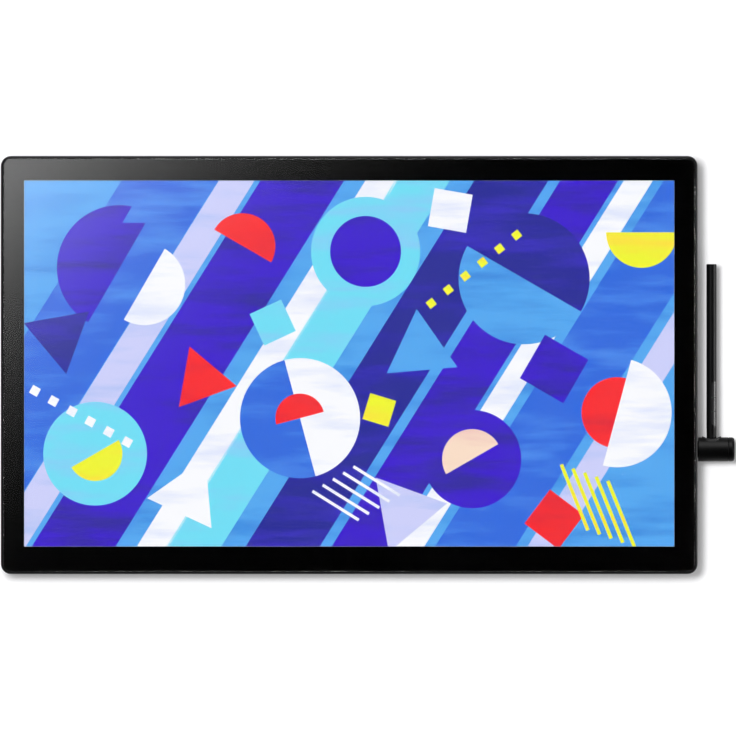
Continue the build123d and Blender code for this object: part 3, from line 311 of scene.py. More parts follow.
# Keys: four satin caps in each sloping grip, with rounded corners and a shallow dish for the fingertip
# Each is held by a flange behind the wall, and is pressed straight into the slope.
cover_low, cover_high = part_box("rear_cover")
case_half = (cover_high.x - cover_low.x) / 2
slope_run = 0.016
slope_rise = 0.006
key_black = (0.045, 0.045, 0.048, 1.0)
key_half_width = 0.0045
key_half_length = 0.009
key_foot = -0.0021
key_proud = 0.0006
key_corner = 0.0015
key_ease = 0.0003
key_flange = 0.0008
key_flange_lap = 0.0007
key_count = 4
# The steps of the dish: how much narrower and shorter each is than the last, and how much deeper
key_dish = ((0.86, 0.93, 0.0), (0.72, 0.86, -0.0001), (0.55, 0.74, -0.00008))
height_hair = 0.00001
facing_share = 0.99
along_share = 0.9
smooth_angle = math.radians(35.0)


def block(low, high):
    """A box between two corners, with its place in its mesh."""
    bpy.ops.object.select_all(action="DESELECT")
    middle = [(near + far) / 2 for near, far in zip(low, high)]
    size = [far - near for near, far in zip(low, high)]
    bpy.ops.mesh.primitive_cube_add(size=1.0, location=middle, scale=size)
    bpy.ops.object.transform_apply(location=True, rotation=True, scale=True)
    return bpy.context.object


def pick_edges(piece, wanted):
    """Goes into edit mode with only those edges selected whose two ends pass a test."""
    bpy.ops.object.mode_set(mode="EDIT")
    bpy.ops.mesh.select_mode(type="EDGE")
    bpy.ops.mesh.select_all(action="DESELECT")
    bpy.ops.object.mode_set(mode="OBJECT")
    points = [vertex.co for vertex in piece.data.vertices]
    for edge in piece.data.edges:
        start, end = edge.vertices
        edge.select = wanted(points[start], points[end])
    bpy.ops.object.mode_set(mode="EDIT")


def pick_faces(piece, axis, way):
    """Goes into edit mode with only those faces selected that face one way along an axis."""
    bpy.ops.object.mode_set(mode="EDIT")
    bpy.ops.mesh.select_mode(type="FACE")
    bpy.ops.mesh.select_all(action="DESELECT")
    bpy.ops.object.mode_set(mode="OBJECT")
    for face in piece.data.polygons:
        face.select = face.normal[axis] * way > facing_share
    bpy.ops.object.mode_set(mode="EDIT")


def round_edges(piece, wanted, size, segments):
    """Rounds those edges of a piece that pass a test."""
    pick_edges(piece, wanted)
    bpy.ops.mesh.bevel(offset=size, segments=segments, affect="EDGES")
    bpy.ops.object.mode_set(mode="OBJECT")


def runs_along(axis):
    """A test for edges that run along one axis."""
    return lambda start, end: abs(start[axis] - end[axis]) > along_share * (start - end).length


def lies_at(axis, place):
    """A test for edges that lie wholly at one place on an axis."""
    return lambda start, end: max(abs(start[axis] - place), abs(end[axis] - place)) < height_hair


def copy_to(piece, place, turn=0.0):
    """A copy of a piece that was modelled at the origin, with its own mesh, tilted about Y and set down."""
    bpy.ops.object.select_all(action="DESELECT")
    piece.select_set(True)
    bpy.context.view_layer.objects.active = piece
    bpy.ops.object.duplicate(linked=False)
    copy = bpy.context.object
    copy.rotation_euler = (0.0, turn, 0.0)
    copy.location = place
    bpy.ops.object.transform_apply(location=True, rotation=True, scale=True)
    return copy


def join_all(pieces, name):
    """One object out of several, with its flat faces shaded flat."""
    bpy.ops.object.select_all(action="DESELECT")
    for piece in pieces:
        piece.select_set(True)
    bpy.context.view_layer.objects.active = pieces[0]
    bpy.ops.object.join()
    bpy.ops.object.shade_smooth_by_angle(angle=smooth_angle)
    flats = pieces[0].modifiers.new("flats", "WEIGHTED_NORMAL")
    flats.keep_sharp = True
    bpy.ops.object.modifier_apply(modifier=flats.name)
    pieces[0].name = name
    return pieces[0]


def set_out(piece, places, name):
    """Copies a piece to all its places, as one object, and takes the first one away."""
    copies = [copy_to(piece, place) for place in places]
    bpy.data.objects.remove(piece)
    return join_all(copies, name)


cap = block(
    (-key_half_width, -key_half_length, key_foot - key_flange / 2),
    (key_half_width, key_half_length, key_proud),
)
round_edges(cap, runs_along(2), key_corner, 5)
round_edges(cap, lies_at(2, key_proud), key_ease, 3)
pick_faces(cap, 2, 1)
for narrower, shorter, sink in key_dish:
    bpy.ops.mesh.extrude_region_move(TRANSFORM_OT_translate={"value": (0.0, 0.0, sink)})
    bpy.ops.transform.resize(value=(narrower, shorter, 1.0), center_override=(0.0, 0.0, key_proud))
bpy.ops.object.mode_set(mode="OBJECT")
flange_x = key_half_width + key_flange_lap
flange_y = key_half_length + key_flange_lap
flange = block((-flange_x, -flange_y, key_foot - key_flange), (flange_x, flange_y, key_foot))
key_form = join_all([cap, flange], "key_form")
key_plastic = moulded_plastic("key_plastic", key_black, roughness=0.36, grain=4200.0, depth=0.00001)
key_form.data.materials.append(key_plastic)
for side, side_name in ((-1, "left"), (1, "right")):
    tilt = math.atan2(side * slope_rise, -slope_run)
    key_x = case_x + side * (case_half - slope_run / 2)
    for number in range(key_count):
        node = side_name + "_key_" + str(number + 1)
        low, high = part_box(node)
        key = copy_to(key_form, (key_x, (low.y + high.y) / 2, cover_low.z + slope_rise / 2), tilt)
        key.name = node + "_cap"
        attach(key, node)
        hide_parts(node)
bpy.data.objects.remove(key_form)

# Power button and touch slider: satin caps in the wall of the top edge, smoother than the cover round them
# The button is pressed straight in, and the slider moves along its slot.
button_plastic = moulded_plastic("button_plastic", key_black, roughness=0.34, grain=4200.0, depth=0.00001)
dress(button_plastic, "power_button", "touch_slider")

# Rubber: four long feet with round ends, leg pads and the holder's friction washer
# Each is moulded with a matt, slightly dusty skin; the feet are pressed into seats in the cover.
rubber_black = (0.018, 0.018, 0.018, 1.0)
foot_low, foot_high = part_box("foot_strips")
foot_half_length = 0.030
foot_half_width = 0.0045
foot_round = 0.0007
foot_rubber = moulded_plastic(
    "foot_rubber",
    rubber_black,
    roughness=0.8,
    grain=1500.0,
    depth=0.00005,
    tone=0.4,
)
dress(foot_rubber, "left_leg_pad", "right_leg_pad", "holder_washer")
foot = block(
    (-foot_half_length, -foot_half_width, foot_low.z),
    (foot_half_length, foot_half_width, foot_high.z),
)
round_edges(foot, runs_along(2), foot_half_width - height_hair, 10)
round_edges(foot, lies_at(2, foot_low.z), foot_round, 4)
foot.data.materials.append(foot_rubber)
foot_columns = (foot_low.x + foot_half_length, foot_high.x - foot_half_length)
foot_rows = (foot_low.y + foot_half_width, foot_high.y - foot_half_width)
feet = set_out(foot, [(x, y, 0.0) for x in foot_columns for y in foot_rows], "rubber_feet")
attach(feet, "case")
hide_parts("foot_strips")

# Metal pieces: plated steel posts, pins and trays, pressed aluminium and copper
# Sheet metal shows the fine lines of rolling along its length.
rolling_lines = (40.0, 1600.0, 1600.0)
rolling_depth = 0.00001
darkest_line = 0.82
brightest_line = 1.1
steel_grey = (0.62, 0.62, 0.63, 1.0)
nickel_grey = (0.66, 0.65, 0.63, 1.0)
aluminium_grey = (0.72, 0.72, 0.74, 1.0)
copper_red = (0.75, 0.42, 0.28, 1.0)


def rolled_metal(name, colour, roughness):
    """A bare metal with fine lines along X, in its tone, its gloss and its surface."""
    material, nodes, links, shader = new_material(name)
    shader.inputs["Metallic"].default_value = 1.0
    place = nodes.new("ShaderNodeTexCoord")
    lines = nodes.new("ShaderNodeMapping")
    lines.inputs["Scale"].default_value = rolling_lines
    noise = nodes.new("ShaderNodeTexNoise")
    noise.inputs["Scale"].default_value = 1.0
    noise.inputs["Detail"].default_value = 3.0
    shade = nodes.new("ShaderNodeMix")
    shade.data_type = "RGBA"
    shade.inputs["A"].default_value = [value * darkest_line for value in colour[:3]] + [1.0]
    shade.inputs["B"].default_value = [min(1.0, value * brightest_line) for value in colour[:3]] + [1.0]
    gloss = nodes.new("ShaderNodeMapRange")
    gloss.inputs["To Min"].default_value = roughness - 0.08
    gloss.inputs["To Max"].default_value = roughness + 0.1
    bump = nodes.new("ShaderNodeBump")
    bump.inputs["Strength"].default_value = 0.25
    bump.inputs["Distance"].default_value = rolling_depth
    links.new(place.outputs["Object"], lines.inputs["Vector"])
    links.new(lines.outputs["Vector"], noise.inputs["Vector"])
    links.new(noise.outputs["Fac"], shade.inputs["Factor"])
    links.new(shade.outputs["Result"], shader.inputs["Base Color"])
    links.new(noise.outputs["Fac"], gloss.inputs["Value"])
    links.new(gloss.outputs["Result"], shader.inputs["Roughness"])
    links.new(noise.outputs["Fac"], bump.inputs["Height"])
    links.new(bump.outputs["Normal"], shader.inputs["Normal"])
    return material


plated_steel = rolled_metal("plated_steel", steel_grey, roughness=0.34)
dress(plated_steel, "mount_posts", "leg_pins", "backlight_tray", "shield_plate")
nickel = rolled_metal("nickel_socket", nickel_grey, roughness=0.26)
dress(nickel, "dock_sockets")
dress(rolled_metal("pressed_aluminium", aluminium_grey, roughness=0.38), "chassis_plate")
dress(rolled_metal("copper", copper_red, roughness=0.3), "heat_pipe", "fin_stack")

# Case screws: eight blackened screws with flat heads, sunk in the rear cover
# The cross recess is pressed into the head, with slanted ends.
screw_low, screw_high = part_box("case_screws")
screw_black = (0.16, 0.16, 0.17, 1.0)
head_sides = 40
head_radius = 0.0028
head_height = 0.0016
head_round = 0.0003
shank_radius = 0.0014
cross_half_length = 0.0017
cross_half_width = 0.0004
cross_depth = 0.0009
cross_taper = 0.55
side_screw_inset = 0.033
side_screw_back = 0.053
end_screw_x = 0.095
end_screw_inset = 0.025


def carve(piece, cutter):
    """Cuts one shape out of a piece."""
    cut = piece.modifiers.new("cut", "BOOLEAN")
    cut.operation = "DIFFERENCE"
    cut.solver = "EXACT"
    cut.object = cutter
    bpy.context.view_layer.objects.active = piece
    bpy.ops.object.modifier_apply(modifier=cut.name)
    bpy.data.objects.remove(cutter)


black_steel = rolled_metal("black_screw", screw_black, roughness=0.36)
dress(black_steel, "board_screws")
bpy.ops.object.select_all(action="DESELECT")
bpy.ops.mesh.primitive_cylinder_add(
    vertices=head_sides,
    radius=head_radius,
    depth=head_height,
    location=(0.0, 0.0, screw_low.z + head_height / 2),
)
screw = bpy.context.object
bpy.ops.object.transform_apply(location=True, rotation=True, scale=True)
round_edges(screw, lies_at(2, screw_low.z), head_round, 3)
pick_faces(screw, 2, 1)
bpy.ops.mesh.inset(thickness=head_radius - shank_radius)
shank = screw_high.z - screw_low.z - head_height
bpy.ops.mesh.extrude_region_move(TRANSFORM_OT_translate={"value": (0.0, 0.0, shank)})
bpy.ops.object.mode_set(mode="OBJECT")
recess_end = screw_low.z + cross_depth
for long_x, long_y in ((cross_half_length, cross_half_width), (cross_half_width, cross_half_length)):
    cutter = block((-long_x, -long_y, screw_low.z - cross_depth), (long_x, long_y, recess_end))
    pick_faces(cutter, 2, 1)
    bpy.ops.transform.resize(value=(cross_taper, cross_taper, 1.0), center_override=(0.0, 0.0, recess_end))
    bpy.ops.object.mode_set(mode="OBJECT")
    carve(screw, cutter)
screw.data.materials.append(black_steel)
case_y = (cover_low.y + cover_high.y) / 2
case_half_depth = (cover_high.y - cover_low.y) / 2
screw_reach = (
    (case_half - side_screw_inset, case_half_depth - side_screw_back),
    (end_screw_x, case_half_depth - end_screw_inset),
)
screw_places = [
    (case_x + side * x, case_y + end * y, 0.0) for x, y in screw_reach for side in (-1, 1) for end in (-1, 1)
]
screws = set_out(screw, screw_places, "screws_of_case")
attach(screws, "case")
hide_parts("case_screws")

# Plug sockets: drawn steel shells, each round a black tongue with gilt contacts on both faces
# Three are small and oblong, and the wide one has slanted lower corners. All open into the cable bay.
tongue_black = (0.02, 0.02, 0.021, 1.0)
contact_gold = (0.83, 0.6, 0.26, 1.0)
gilt = rolled_metal("gilt_contact", contact_gold, roughness=0.24)
tongue_plastic = moulded_plastic("tongue_plastic", tongue_black, roughness=0.45, depth=0.00001)
socket_back = 0.001
tongue_start = 0.0005
tongue_nose = 0.4


def shell(size, wall, corners):
    """A socket's shell at the origin, open towards +Y. corners has the rounding of lower and upper edges."""
    half_width, length, half_height = size
    form = block((-half_width, -length, -half_height), (half_width, 0.0, half_height))
    along = runs_along(1)
    for edge_z, (radius, segments) in zip((-half_height, half_height), corners):
        level = lies_at(2, edge_z)
        round_edges(form, lambda start, end: along(start, end) and level(start, end), radius, segments)
    pick_faces(form, 1, 1)
    bpy.ops.mesh.inset(thickness=wall)
    bpy.ops.mesh.extrude_region_move(TRANSFORM_OT_translate={"value": (0.0, socket_back - length, 0.0)})
    bpy.ops.object.mode_set(mode="OBJECT")
    form.data.materials.append(nickel)
    return form


def tongue(half_width, low_y, high_y, half_height):
    """The board of a socket, with its front edges eased."""
    form = block((-half_width, low_y, -half_height), (half_width, high_y, half_height))
    round_edges(form, lies_at(1, high_y), half_height * tongue_nose, 3)
    form.data.materials.append(tongue_plastic)
    return form


def contacts(count, pitch, width, low_y, high_y, half_height, proud):
    """Two rows of flat springs, one on each face of a tongue."""
    first = -pitch * (count - 1) / 2
    form = block(
        (first - width / 2, low_y, -half_height - proud),
        (first + width / 2, high_y, proud - half_height),
    )
    for number, step in ((count, (pitch, 0.0, 0.0)), (2, (0.0, 0.0, 2 * half_height))):
        row = form.modifiers.new("row", "ARRAY")
        row.count = number
        row.use_relative_offset = False
        row.use_constant_offset = True
        row.constant_offset_displace = step
        bpy.ops.object.modifier_apply(modifier=row.name)
    form.data.materials.append(gilt)
    return form


usb_low, usb_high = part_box("usb_ports")
usb_middle = (usb_low + usb_high) / 2
usb_half_width = 0.0045
usb_length = usb_high.y - usb_low.y
usb_half_height = (usb_high.z - usb_low.z) / 2
usb_wall = 0.0003
usb_corner = (0.0014, 6)
usb_board = 0.00035
usb_shell = shell((usb_half_width, usb_length, usb_half_height), usb_wall, (usb_corner, usb_corner))
usb_tongue = tongue(0.0033, low_y=tongue_start - usb_length, high_y=-0.0015, half_height=usb_board)
usb_contacts = contacts(
    count=12,
    pitch=0.0005,
    width=0.00026,
    low_y=-0.0052,
    high_y=-0.0019,
    half_height=usb_board,
    proud=0.00003,
)
usb_columns = (usb_low.x + usb_half_width, usb_middle.x, usb_high.x - usb_half_width)
usb_places = [(x, usb_high.y, usb_middle.z) for x in usb_columns]
hdmi_low, hdmi_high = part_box("hdmi_port")
hdmi_middle = (hdmi_low + hdmi_high) / 2
hdmi_half_width = (hdmi_high.x - hdmi_low.x) / 2
hdmi_length = hdmi_high.y - hdmi_low.y
hdmi_half_height = (hdmi_high.z - hdmi_low.z) / 2
hdmi_wall = 0.0004
hdmi_slant = (0.0018, 1)
hdmi_corner = (0.0007, 3)
hdmi_board = 0.0005
hdmi_shell = shell((hdmi_half_width, hdmi_length, hdmi_half_height), hdmi_wall, (hdmi_slant, hdmi_corner))
hdmi_tongue = tongue(0.005, low_y=tongue_start - hdmi_length, high_y=-0.003, half_height=hdmi_board)
hdmi_contacts = contacts(
    count=10,
    pitch=0.00093,
    width=0.00045,
    low_y=-0.0075,
    high_y=-0.0036,
    half_height=hdmi_board,
    proud=0.00004,
)
hdmi_places = [(hdmi_middle.x, hdmi_high.y, hdmi_middle.z)]
for form, places, name, node in (
    (usb_shell, usb_places, "small_socket_shells", "usb_ports"),
    (usb_tongue, usb_places, "small_socket_tongues", None),
    (usb_contacts, usb_places, "small_socket_contacts", None),
    (hdmi_shell, hdmi_places, "wide_socket_shell", "hdmi_port"),
    (hdmi_tongue, hdmi_places, "wide_socket_tongue", None),
    (hdmi_contacts, hdmi_places, "wide_socket_contacts", None),
):
    piece = set_out(form, places, name)
    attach(piece, "case")
    if node:
        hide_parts(node)

# Circuit boards, chips, flat cable and blower
# The boards have green lacquer over fine copper lines, and the rest is moulded or pressed in black and amber.
chip_black = (0.02, 0.02, 0.021, 1.0)
cable_amber = (0.4, 0.2, 0.06, 1.0)
board_green = (0.012, 0.075, 0.035, 1.0)
track_green = (0.03, 0.15, 0.07, 1.0)
track_scale = 260.0
track_width = 0.04


def lacquered_board():
    """Green lacquer over a mesh of slightly raised copper lines."""
    material, nodes, links, shader = new_material("lacquered_board")
    shader.inputs["Roughness"].default_value = 0.32
    place = nodes.new("ShaderNodeTexCoord")
    tracks = nodes.new("ShaderNodeTexBrick")
    tracks.inputs["Scale"].default_value = track_scale
    tracks.inputs["Mortar Size"].default_value = track_width
    tracks.inputs["Color1"].default_value = board_green
    tracks.inputs["Color2"].default_value = [value * 0.8 for value in board_green[:3]] + [1.0]
    tracks.inputs["Mortar"].default_value = track_green
    bump = nodes.new("ShaderNodeBump")
    bump.inputs["Strength"].default_value = 0.3
    bump.inputs["Distance"].default_value = 0.00002
    links.new(place.outputs["Object"], tracks.inputs["Vector"])
    links.new(tracks.outputs["Color"], shader.inputs["Base Color"])
    links.new(tracks.outputs["Fac"], bump.inputs["Height"])
    links.new(bump.outputs["Normal"], shader.inputs["Normal"])
    return material


dress(
    lacquered_board(),
    "main_board",
    "panel_board",
    "digitizer_board",
    "key_boards",
    "side_switch_board",
    "digitizer_sensor",
    "led_bar",
    "pen_core",
)
chip_plastic = moulded_plastic("chip_plastic", chip_black, roughness=0.55, grain=3000.0)
dress(chip_plastic, "board_chips", "fan_housing", "fan_rotor")
dress(moulded_plastic("cable_film", cable_amber, roughness=0.3, depth=0.00001), "flat_cable")

# Light guide, films and cell: a sheet of acrylic with white films over it, behind the picture
# They are cut flat and laid in the backlight tray, one on the other.
guide_white = (0.85, 0.88, 0.9, 1.0)
film_white = (0.88, 0.88, 0.88, 1.0)
dress(moulded_plastic("guide_acrylic", guide_white, roughness=0.15, depth=0.00001, tone=0.03), "light_guide")
white_film = moulded_plastic("white_film", film_white, roughness=0.6, depth=0.00001, tone=0.03)
dress(white_film, "film_stack", "lcd_cell")

# Lit picture: what the screen shows, seen through the clear bond between cell and glass
# It is a loose pattern of flat cut-paper shapes, laid over each other in levels within the bond's thickness.
bond_low, bond_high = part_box("optical_bond")
picture_x = (bond_low.x + bond_high.x) / 2
picture_y = (bond_low.y + bond_high.y) / 2
picture_width = bond_high.x - bond_low.x
picture_depth = bond_high.y - bond_low.y
picture_floor = bond_low.z + 0.00002
level_step = 0.00003
picture_light = 1.06
unlit_black = (0.01, 0.01, 0.01, 1.0)
band_reach = 0.62
arch_steps = 40
streak_stretch = (9.0, 60.0, 1.0)
streak_start = 0.47
streak_full = 0.66
picture_layers = []


def screen_tone(red, green, blue):
    """A screen colour of 0 to 255, as the shader takes it."""
    return [((value / 255 + 0.055) / 1.055) ** 2.4 for value in (red, green, blue)] + [1.0]


def picture_paint(name, colour, other, turn):
    """A lit colour with soft streaks of a second one."""
    material, nodes, links, shader = new_material(name)
    shader.inputs["Base Color"].default_value = unlit_black
    shader.inputs["Roughness"].default_value = 0.5
    shader.inputs["Emission Strength"].default_value = picture_light
    place = nodes.new("ShaderNodeTexCoord")
    turned = nodes.new("ShaderNodeMapping")
    turned.inputs["Rotation"].default_value = (0.0, 0.0, math.radians(turn))
    turned.inputs["Scale"].default_value = streak_stretch
    streak = nodes.new("ShaderNodeTexNoise")
    streak.inputs["Scale"].default_value = 1.0
    streak.inputs["Detail"].default_value = 6.0
    streak.inputs["Roughness"].default_value = 0.6
    edge = nodes.new("ShaderNodeMapRange")
    edge.inputs["From Min"].default_value = streak_start
    edge.inputs["From Max"].default_value = streak_full
    mix = nodes.new("ShaderNodeMix")
    mix.data_type = "RGBA"
    mix.inputs["A"].default_value = screen_tone(*colour)
    mix.inputs["B"].default_value = screen_tone(*other)
    links.new(place.outputs["Object"], turned.inputs["Vector"])
    links.new(turned.outputs["Vector"], streak.inputs["Vector"])
    links.new(streak.outputs["Fac"], edge.inputs["Value"])
    links.new(edge.outputs["Result"], mix.inputs["Factor"])
    links.new(mix.outputs["Result"], shader.inputs["Emission Color"])
    material.cycles.emission_sampling = "NONE"
    return material


sky = picture_paint("picture_sky", (84, 168, 240), (60, 140, 225), 35.0)
cobalt = picture_paint("picture_cobalt", (45, 105, 222), (75, 140, 235), -50.0)
indigo = picture_paint("picture_indigo", (58, 20, 205), (44, 34, 160), 40.0)
navy = picture_paint("picture_navy", (32, 36, 150), (52, 40, 190), -30.0)
white = picture_paint("picture_white", (250, 251, 255), (226, 232, 252), 20.0)
lavender = picture_paint("picture_lavender", (205, 208, 250), (180, 196, 245), 65.0)
aqua = picture_paint("picture_aqua", (112, 222, 245), (134, 206, 246), -35.0)
red = picture_paint("picture_red", (250, 38, 44), (228, 30, 52), 50.0)
yellow = picture_paint("picture_yellow", (240, 245, 44), (252, 226, 60), 10.0)
peach = picture_paint("picture_peach", (250, 222, 200), (240, 200, 190), 10.0)


def lay_down(paint, level):
    """Trims the shape in hand to the picture, lifts it to its level and gives it its colour."""
    shape = bpy.context.object
    bpy.ops.object.transform_apply(location=True, rotation=True, scale=True)
    bpy.ops.object.mode_set(mode="EDIT")
    for side in (-1, 1):
        bpy.ops.mesh.select_all(action="SELECT")
        edge_x = picture_x + side * picture_width / 2
        bpy.ops.mesh.bisect(plane_co=(edge_x, 0.0, 0.0), plane_no=(side, 0.0, 0.0), clear_outer=True)
        bpy.ops.mesh.select_all(action="SELECT")
        edge_y = picture_y + side * picture_depth / 2
        bpy.ops.mesh.bisect(plane_co=(0.0, edge_y, 0.0), plane_no=(0.0, side, 0.0), clear_outer=True)
    bpy.ops.mesh.select_all(action="SELECT")
    bpy.ops.transform.translate(value=(0.0, 0.0, picture_floor + level * level_step))
    bpy.ops.object.mode_set(mode="OBJECT")
    shape.data.materials.append(paint)
    picture_layers.append(shape)


def disc(paint, level, x, y, radius, sides=64, turn=0.0, keep=None):
    """A disc, or a many-sided shape. keep is the side that stays of a half disc, as an angle."""
    bpy.ops.object.select_all(action="DESELECT")
    bpy.ops.mesh.primitive_circle_add(
        vertices=sides,
        radius=radius,
        fill_type="NGON",
        location=(picture_x + x, picture_y + y, 0.0),
        rotation=(0.0, 0.0, math.radians(turn)),
    )
    if keep is not None:
        angle = math.radians(keep)
        bpy.ops.object.mode_set(mode="EDIT")
        bpy.ops.mesh.select_all(action="SELECT")
        bpy.ops.mesh.bisect(
            plane_co=(picture_x + x, picture_y + y, 0.0),
            plane_no=(math.cos(angle), math.sin(angle), 0.0),
            clear_inner=True,
        )
        bpy.ops.object.mode_set(mode="OBJECT")
    lay_down(paint, level)


def band(paint, level, x, y, length, width, turn):
    """A straight band."""
    bpy.ops.object.select_all(action="DESELECT")
    bpy.ops.mesh.primitive_plane_add(
        size=1.0,
        location=(picture_x + x, picture_y + y, 0.0),
        rotation=(0.0, 0.0, math.radians(turn)),
    )
    bpy.context.object.scale = (length, width, 1.0)
    lay_down(paint, level)


def arch(paint, level, x, y, radius, width, end):
    """Part of a ring, as a strip that is carried round its centre."""
    bpy.ops.object.select_all(action="DESELECT")
    bpy.ops.mesh.primitive_plane_add(size=width, location=(picture_x + x, picture_y + y, 0.0))
    bpy.ops.object.mode_set(mode="EDIT")
    bpy.ops.mesh.select_all(action="SELECT")
    bpy.ops.mesh.merge(type="CENTER")
    bpy.ops.transform.translate(value=(radius - width / 2, 0.0, 0.0))
    bpy.ops.mesh.extrude_region_move(TRANSFORM_OT_translate={"value": (width, 0.0, 0.0)})
    bpy.ops.mesh.select_all(action="SELECT")
    centre = (picture_x + x, picture_y + y, 0.0)
    bpy.ops.mesh.spin(steps=arch_steps, angle=math.radians(end), center=centre, axis=(0.0, 0.0, 1.0))
    bpy.ops.object.mode_set(mode="OBJECT")
    lay_down(paint, level)


# Ground and broad bands, rising to the right
band(sky, 0, 0.0, 0.0, picture_width * 1.1, picture_depth * 1.1, 0.0)
for paint, shift, width in (
    (cobalt, -0.215, 0.060),
    (lavender, -0.166, 0.022),
    (indigo, -0.118, 0.052),
    (white, -0.060, 0.020),
    (aqua, -0.030, 0.034),
    (navy, 0.035, 0.046),
    (indigo, 0.092, 0.036),
    (white, 0.128, 0.018),
    (cobalt, 0.176, 0.050),
    (lavender, 0.226, 0.020),
):
    band(paint, 1, shift, 0.0, band_reach, width, 58.0)

# Half discs and discs
disc(indigo, 2, -0.168, 0.070, 0.046, keep=150.0)
disc(white, 3, -0.150, 0.058, 0.030, keep=-30.0)
disc(red, 2, -0.078, 0.086, 0.024, keep=60.0)
disc(aqua, 2, 0.012, 0.082, 0.040)
disc(indigo, 3, 0.012, 0.082, 0.026)
disc(sky, 2, 0.128, 0.062, 0.048, keep=-120.0)
disc(navy, 2, 0.128, 0.062, 0.048, keep=60.0)
disc(white, 2, -0.036, -0.040, 0.044, keep=15.0)
disc(cobalt, 2, -0.036, -0.040, 0.044, keep=195.0)
disc(red, 3, -0.036, -0.040, 0.018, keep=105.0)
disc(aqua, 2, -0.186, -0.066, 0.038)
disc(yellow, 3, -0.186, -0.066, 0.020, keep=-60.0)
disc(indigo, 2, 0.090, -0.070, 0.036)
disc(peach, 3, 0.090, -0.070, 0.022, keep=120.0)
disc(white, 2, 0.196, -0.036, 0.040, keep=-15.0)
disc(red, 2, 0.196, -0.036, 0.026, keep=165.0)
disc(yellow, 2, 0.214, 0.096, 0.026, keep=-90.0)

# Triangles and diamonds
for paint, x, y, radius, sides, turn in (
    (red, -0.108, -0.012, 0.026, 3, 20.0),
    (white, -0.118, -0.096, 0.030, 3, -25.0),
    (navy, -0.212, 0.020, 0.028, 3, 70.0),
    (sky, 0.052, 0.010, 0.030, 3, 5.0),
    (indigo, 0.150, -0.004, 0.026, 4, 15.0),
    (aqua, -0.056, 0.030, 0.018, 4, -20.0),
    (lavender, 0.040, -0.108, 0.032, 3, 40.0),
    (white, 0.074, 0.112, 0.020, 4, 35.0),
    (red, 0.150, -0.114, 0.022, 4, 8.0),
    (cobalt, -0.140, 0.118, 0.030, 3, 0.0),
    (yellow, 0.022, -0.034, 0.014, 4, 28.0),
):
    disc(paint, 4, x, y, radius, sides=sides, turn=turn)

# Rows of small squares and stripes
for step in range(6):
    disc(white, 5, -0.230 + step * 0.0135, -0.020 - step * 0.0075, 0.0046, sides=4, turn=16.0)
    disc(yellow, 5, 0.060 + step * 0.0125, 0.044 + step * 0.0100, 0.0042, sides=4, turn=-7.0)
for step in range(5):
    band(yellow, 5, 0.165 + step * 0.0085, -0.098 - step * 0.0030, 0.052, 0.0026, 112.0)
    band(white, 5, -0.010 + step * 0.0075, -0.104 + step * 0.0045, 0.040, 0.0022, -32.0)

# Thin arches
arch(white, 6, -0.168, 0.070, 0.062, 0.0020, 150.0)
arch(red, 6, 0.090, -0.070, 0.050, 0.0018, 200.0)
arch(white, 6, 0.128, 0.062, 0.060, 0.0020, -130.0)
arch(yellow, 6, -0.056, 0.030, 0.034, 0.0030, 120.0)
arch(indigo, 6, -0.186, -0.066, 0.050, 0.0024, 170.0)

picture = join_all(picture_layers, "lit_picture")
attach(picture, "case")
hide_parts("optical_bond")

# Border tape: black film that hides all but the lit picture
# It is glued to the back of the glass, and has no shine of its own.
film_black = (0.001, 0.001, 0.0011, 1.0)
black_film = moulded_plastic(
    "black_film",
    film_black,
    roughness=0.6,
    grain=300.0,
    depth=0.000001,
    shine=0.0,
)
dress(black_film, "glass_tape")

# Cover glass: one toughened sheet over the whole front, with a polished round upper edge
# It lies on the border tape and the bond, and is lightly etched against glare, so what it mirrors is soft.
sheet_low, sheet_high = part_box("cover_glass")
sheet_corner = 0.0055
sheet_polish = 0.0004
sheet_lift = 0.00002
glass_bending = 1.5
etch_scale = 60.0
etch_least = 0.085
etch_most = 0.09

sheet = block((sheet_low.x, sheet_low.y, sheet_low.z + sheet_lift), sheet_high)
round_edges(sheet, runs_along(2), sheet_corner, 14)
round_edges(sheet, lies_at(2, sheet_high.z), sheet_polish, 4)
sheet = join_all([sheet], "glass_sheet")
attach(sheet, "case")
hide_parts("cover_glass")


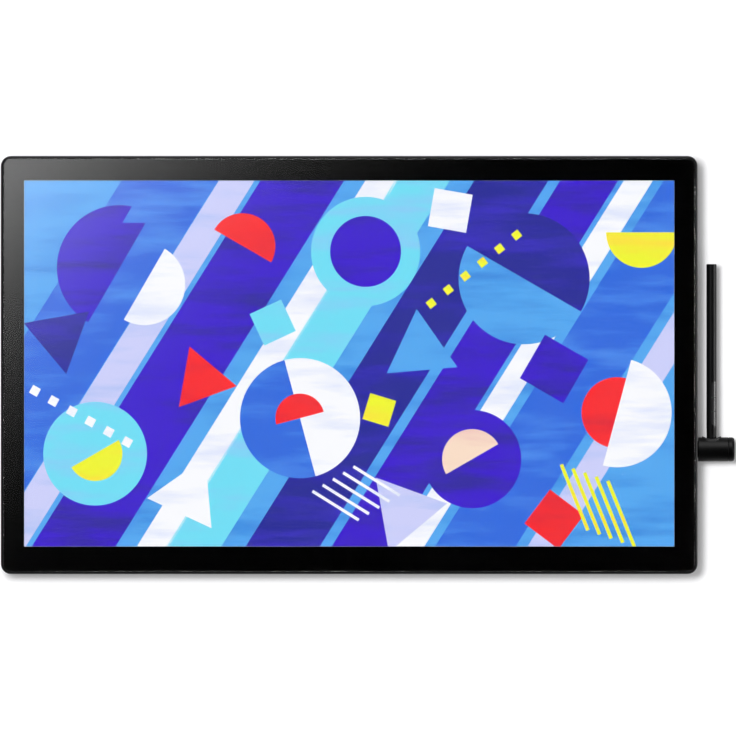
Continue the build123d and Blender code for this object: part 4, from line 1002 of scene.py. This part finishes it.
def etched_glass():
    """Clear glass whose roughness changes a little from place to place."""
    material, nodes, links, shader = new_material("etched_glass")
    shader.inputs["Transmission Weight"].default_value = 1.0
    shader.inputs["IOR"].default_value = glass_bending
    shader.inputs["Base Color"].default_value = pure_white
    place = nodes.new("ShaderNodeTexCoord")
    etch = nodes.new("ShaderNodeTexNoise")
    etch.inputs["Scale"].default_value = etch_scale
    etch.inputs["Detail"].default_value = 2.0
    gloss = nodes.new("ShaderNodeMapRange")
    gloss.inputs["To Min"].default_value = etch_least
    gloss.inputs["To Max"].default_value = etch_most
    links.new(place.outputs["Object"], etch.inputs["Vector"])
    links.new(etch.outputs["Fac"], gloss.inputs["Value"])
    links.new(gloss.outputs["Result"], shader.inputs["Roughness"])
    return material


sheet.data.materials.append(etched_glass())

# Front frame: the satin black rim round the glass
# It is one moulding, and the glass lies in the step of its inner side.
rim_black = (0.004, 0.004, 0.0044, 1.0)
dress(moulded_plastic("rim_plastic", rim_black, roughness=0.34, depth=0.00001, shine=0.12), "front_frame")

# Pen holder: satin black barrel and end cap, with a rubber collar round the pen's hole
# The stem turns in the case's socket, and the cap pulls out with the spare nibs.
holder_black = (0.0016, 0.0016, 0.0017, 1.0)
collar_black = (0.014, 0.014, 0.0145, 1.0)
nib_black = (0.03, 0.03, 0.03, 1.0)
holder_plastic = moulded_plastic("holder_plastic", holder_black, roughness=0.36, depth=0.00001, shine=0.08)
dress(holder_plastic, "holder_barrel", "holder_stem", "nib_drawer")
dress(moulded_plastic("collar_rubber", collar_black, roughness=0.5, grain=1800.0), "holder_collar")
dress(moulded_plastic("nib_plastic", nib_black, roughness=0.4, depth=0.00001), "spare_nibs", "pen_nib")

# Pen: soft satin barrel and tail cap, with glossier side switches
# The barrel is a moulded tube, and each switch is pressed straight into it.
pen_black = (0.002, 0.002, 0.0022, 1.0)
switch_black = (0.02, 0.02, 0.021, 1.0)
pen_plastic = moulded_plastic("pen_plastic", pen_black, roughness=0.38, depth=0.00001, shine=0.1)
dress(pen_plastic, "pen_barrel", "pen_tail_cap")
switch_plastic = moulded_plastic("pen_switch_plastic", switch_black, roughness=0.26, depth=0.000005)
dress(switch_plastic, "pen_switch_rear", "pen_switch_middle", "pen_switch_front")
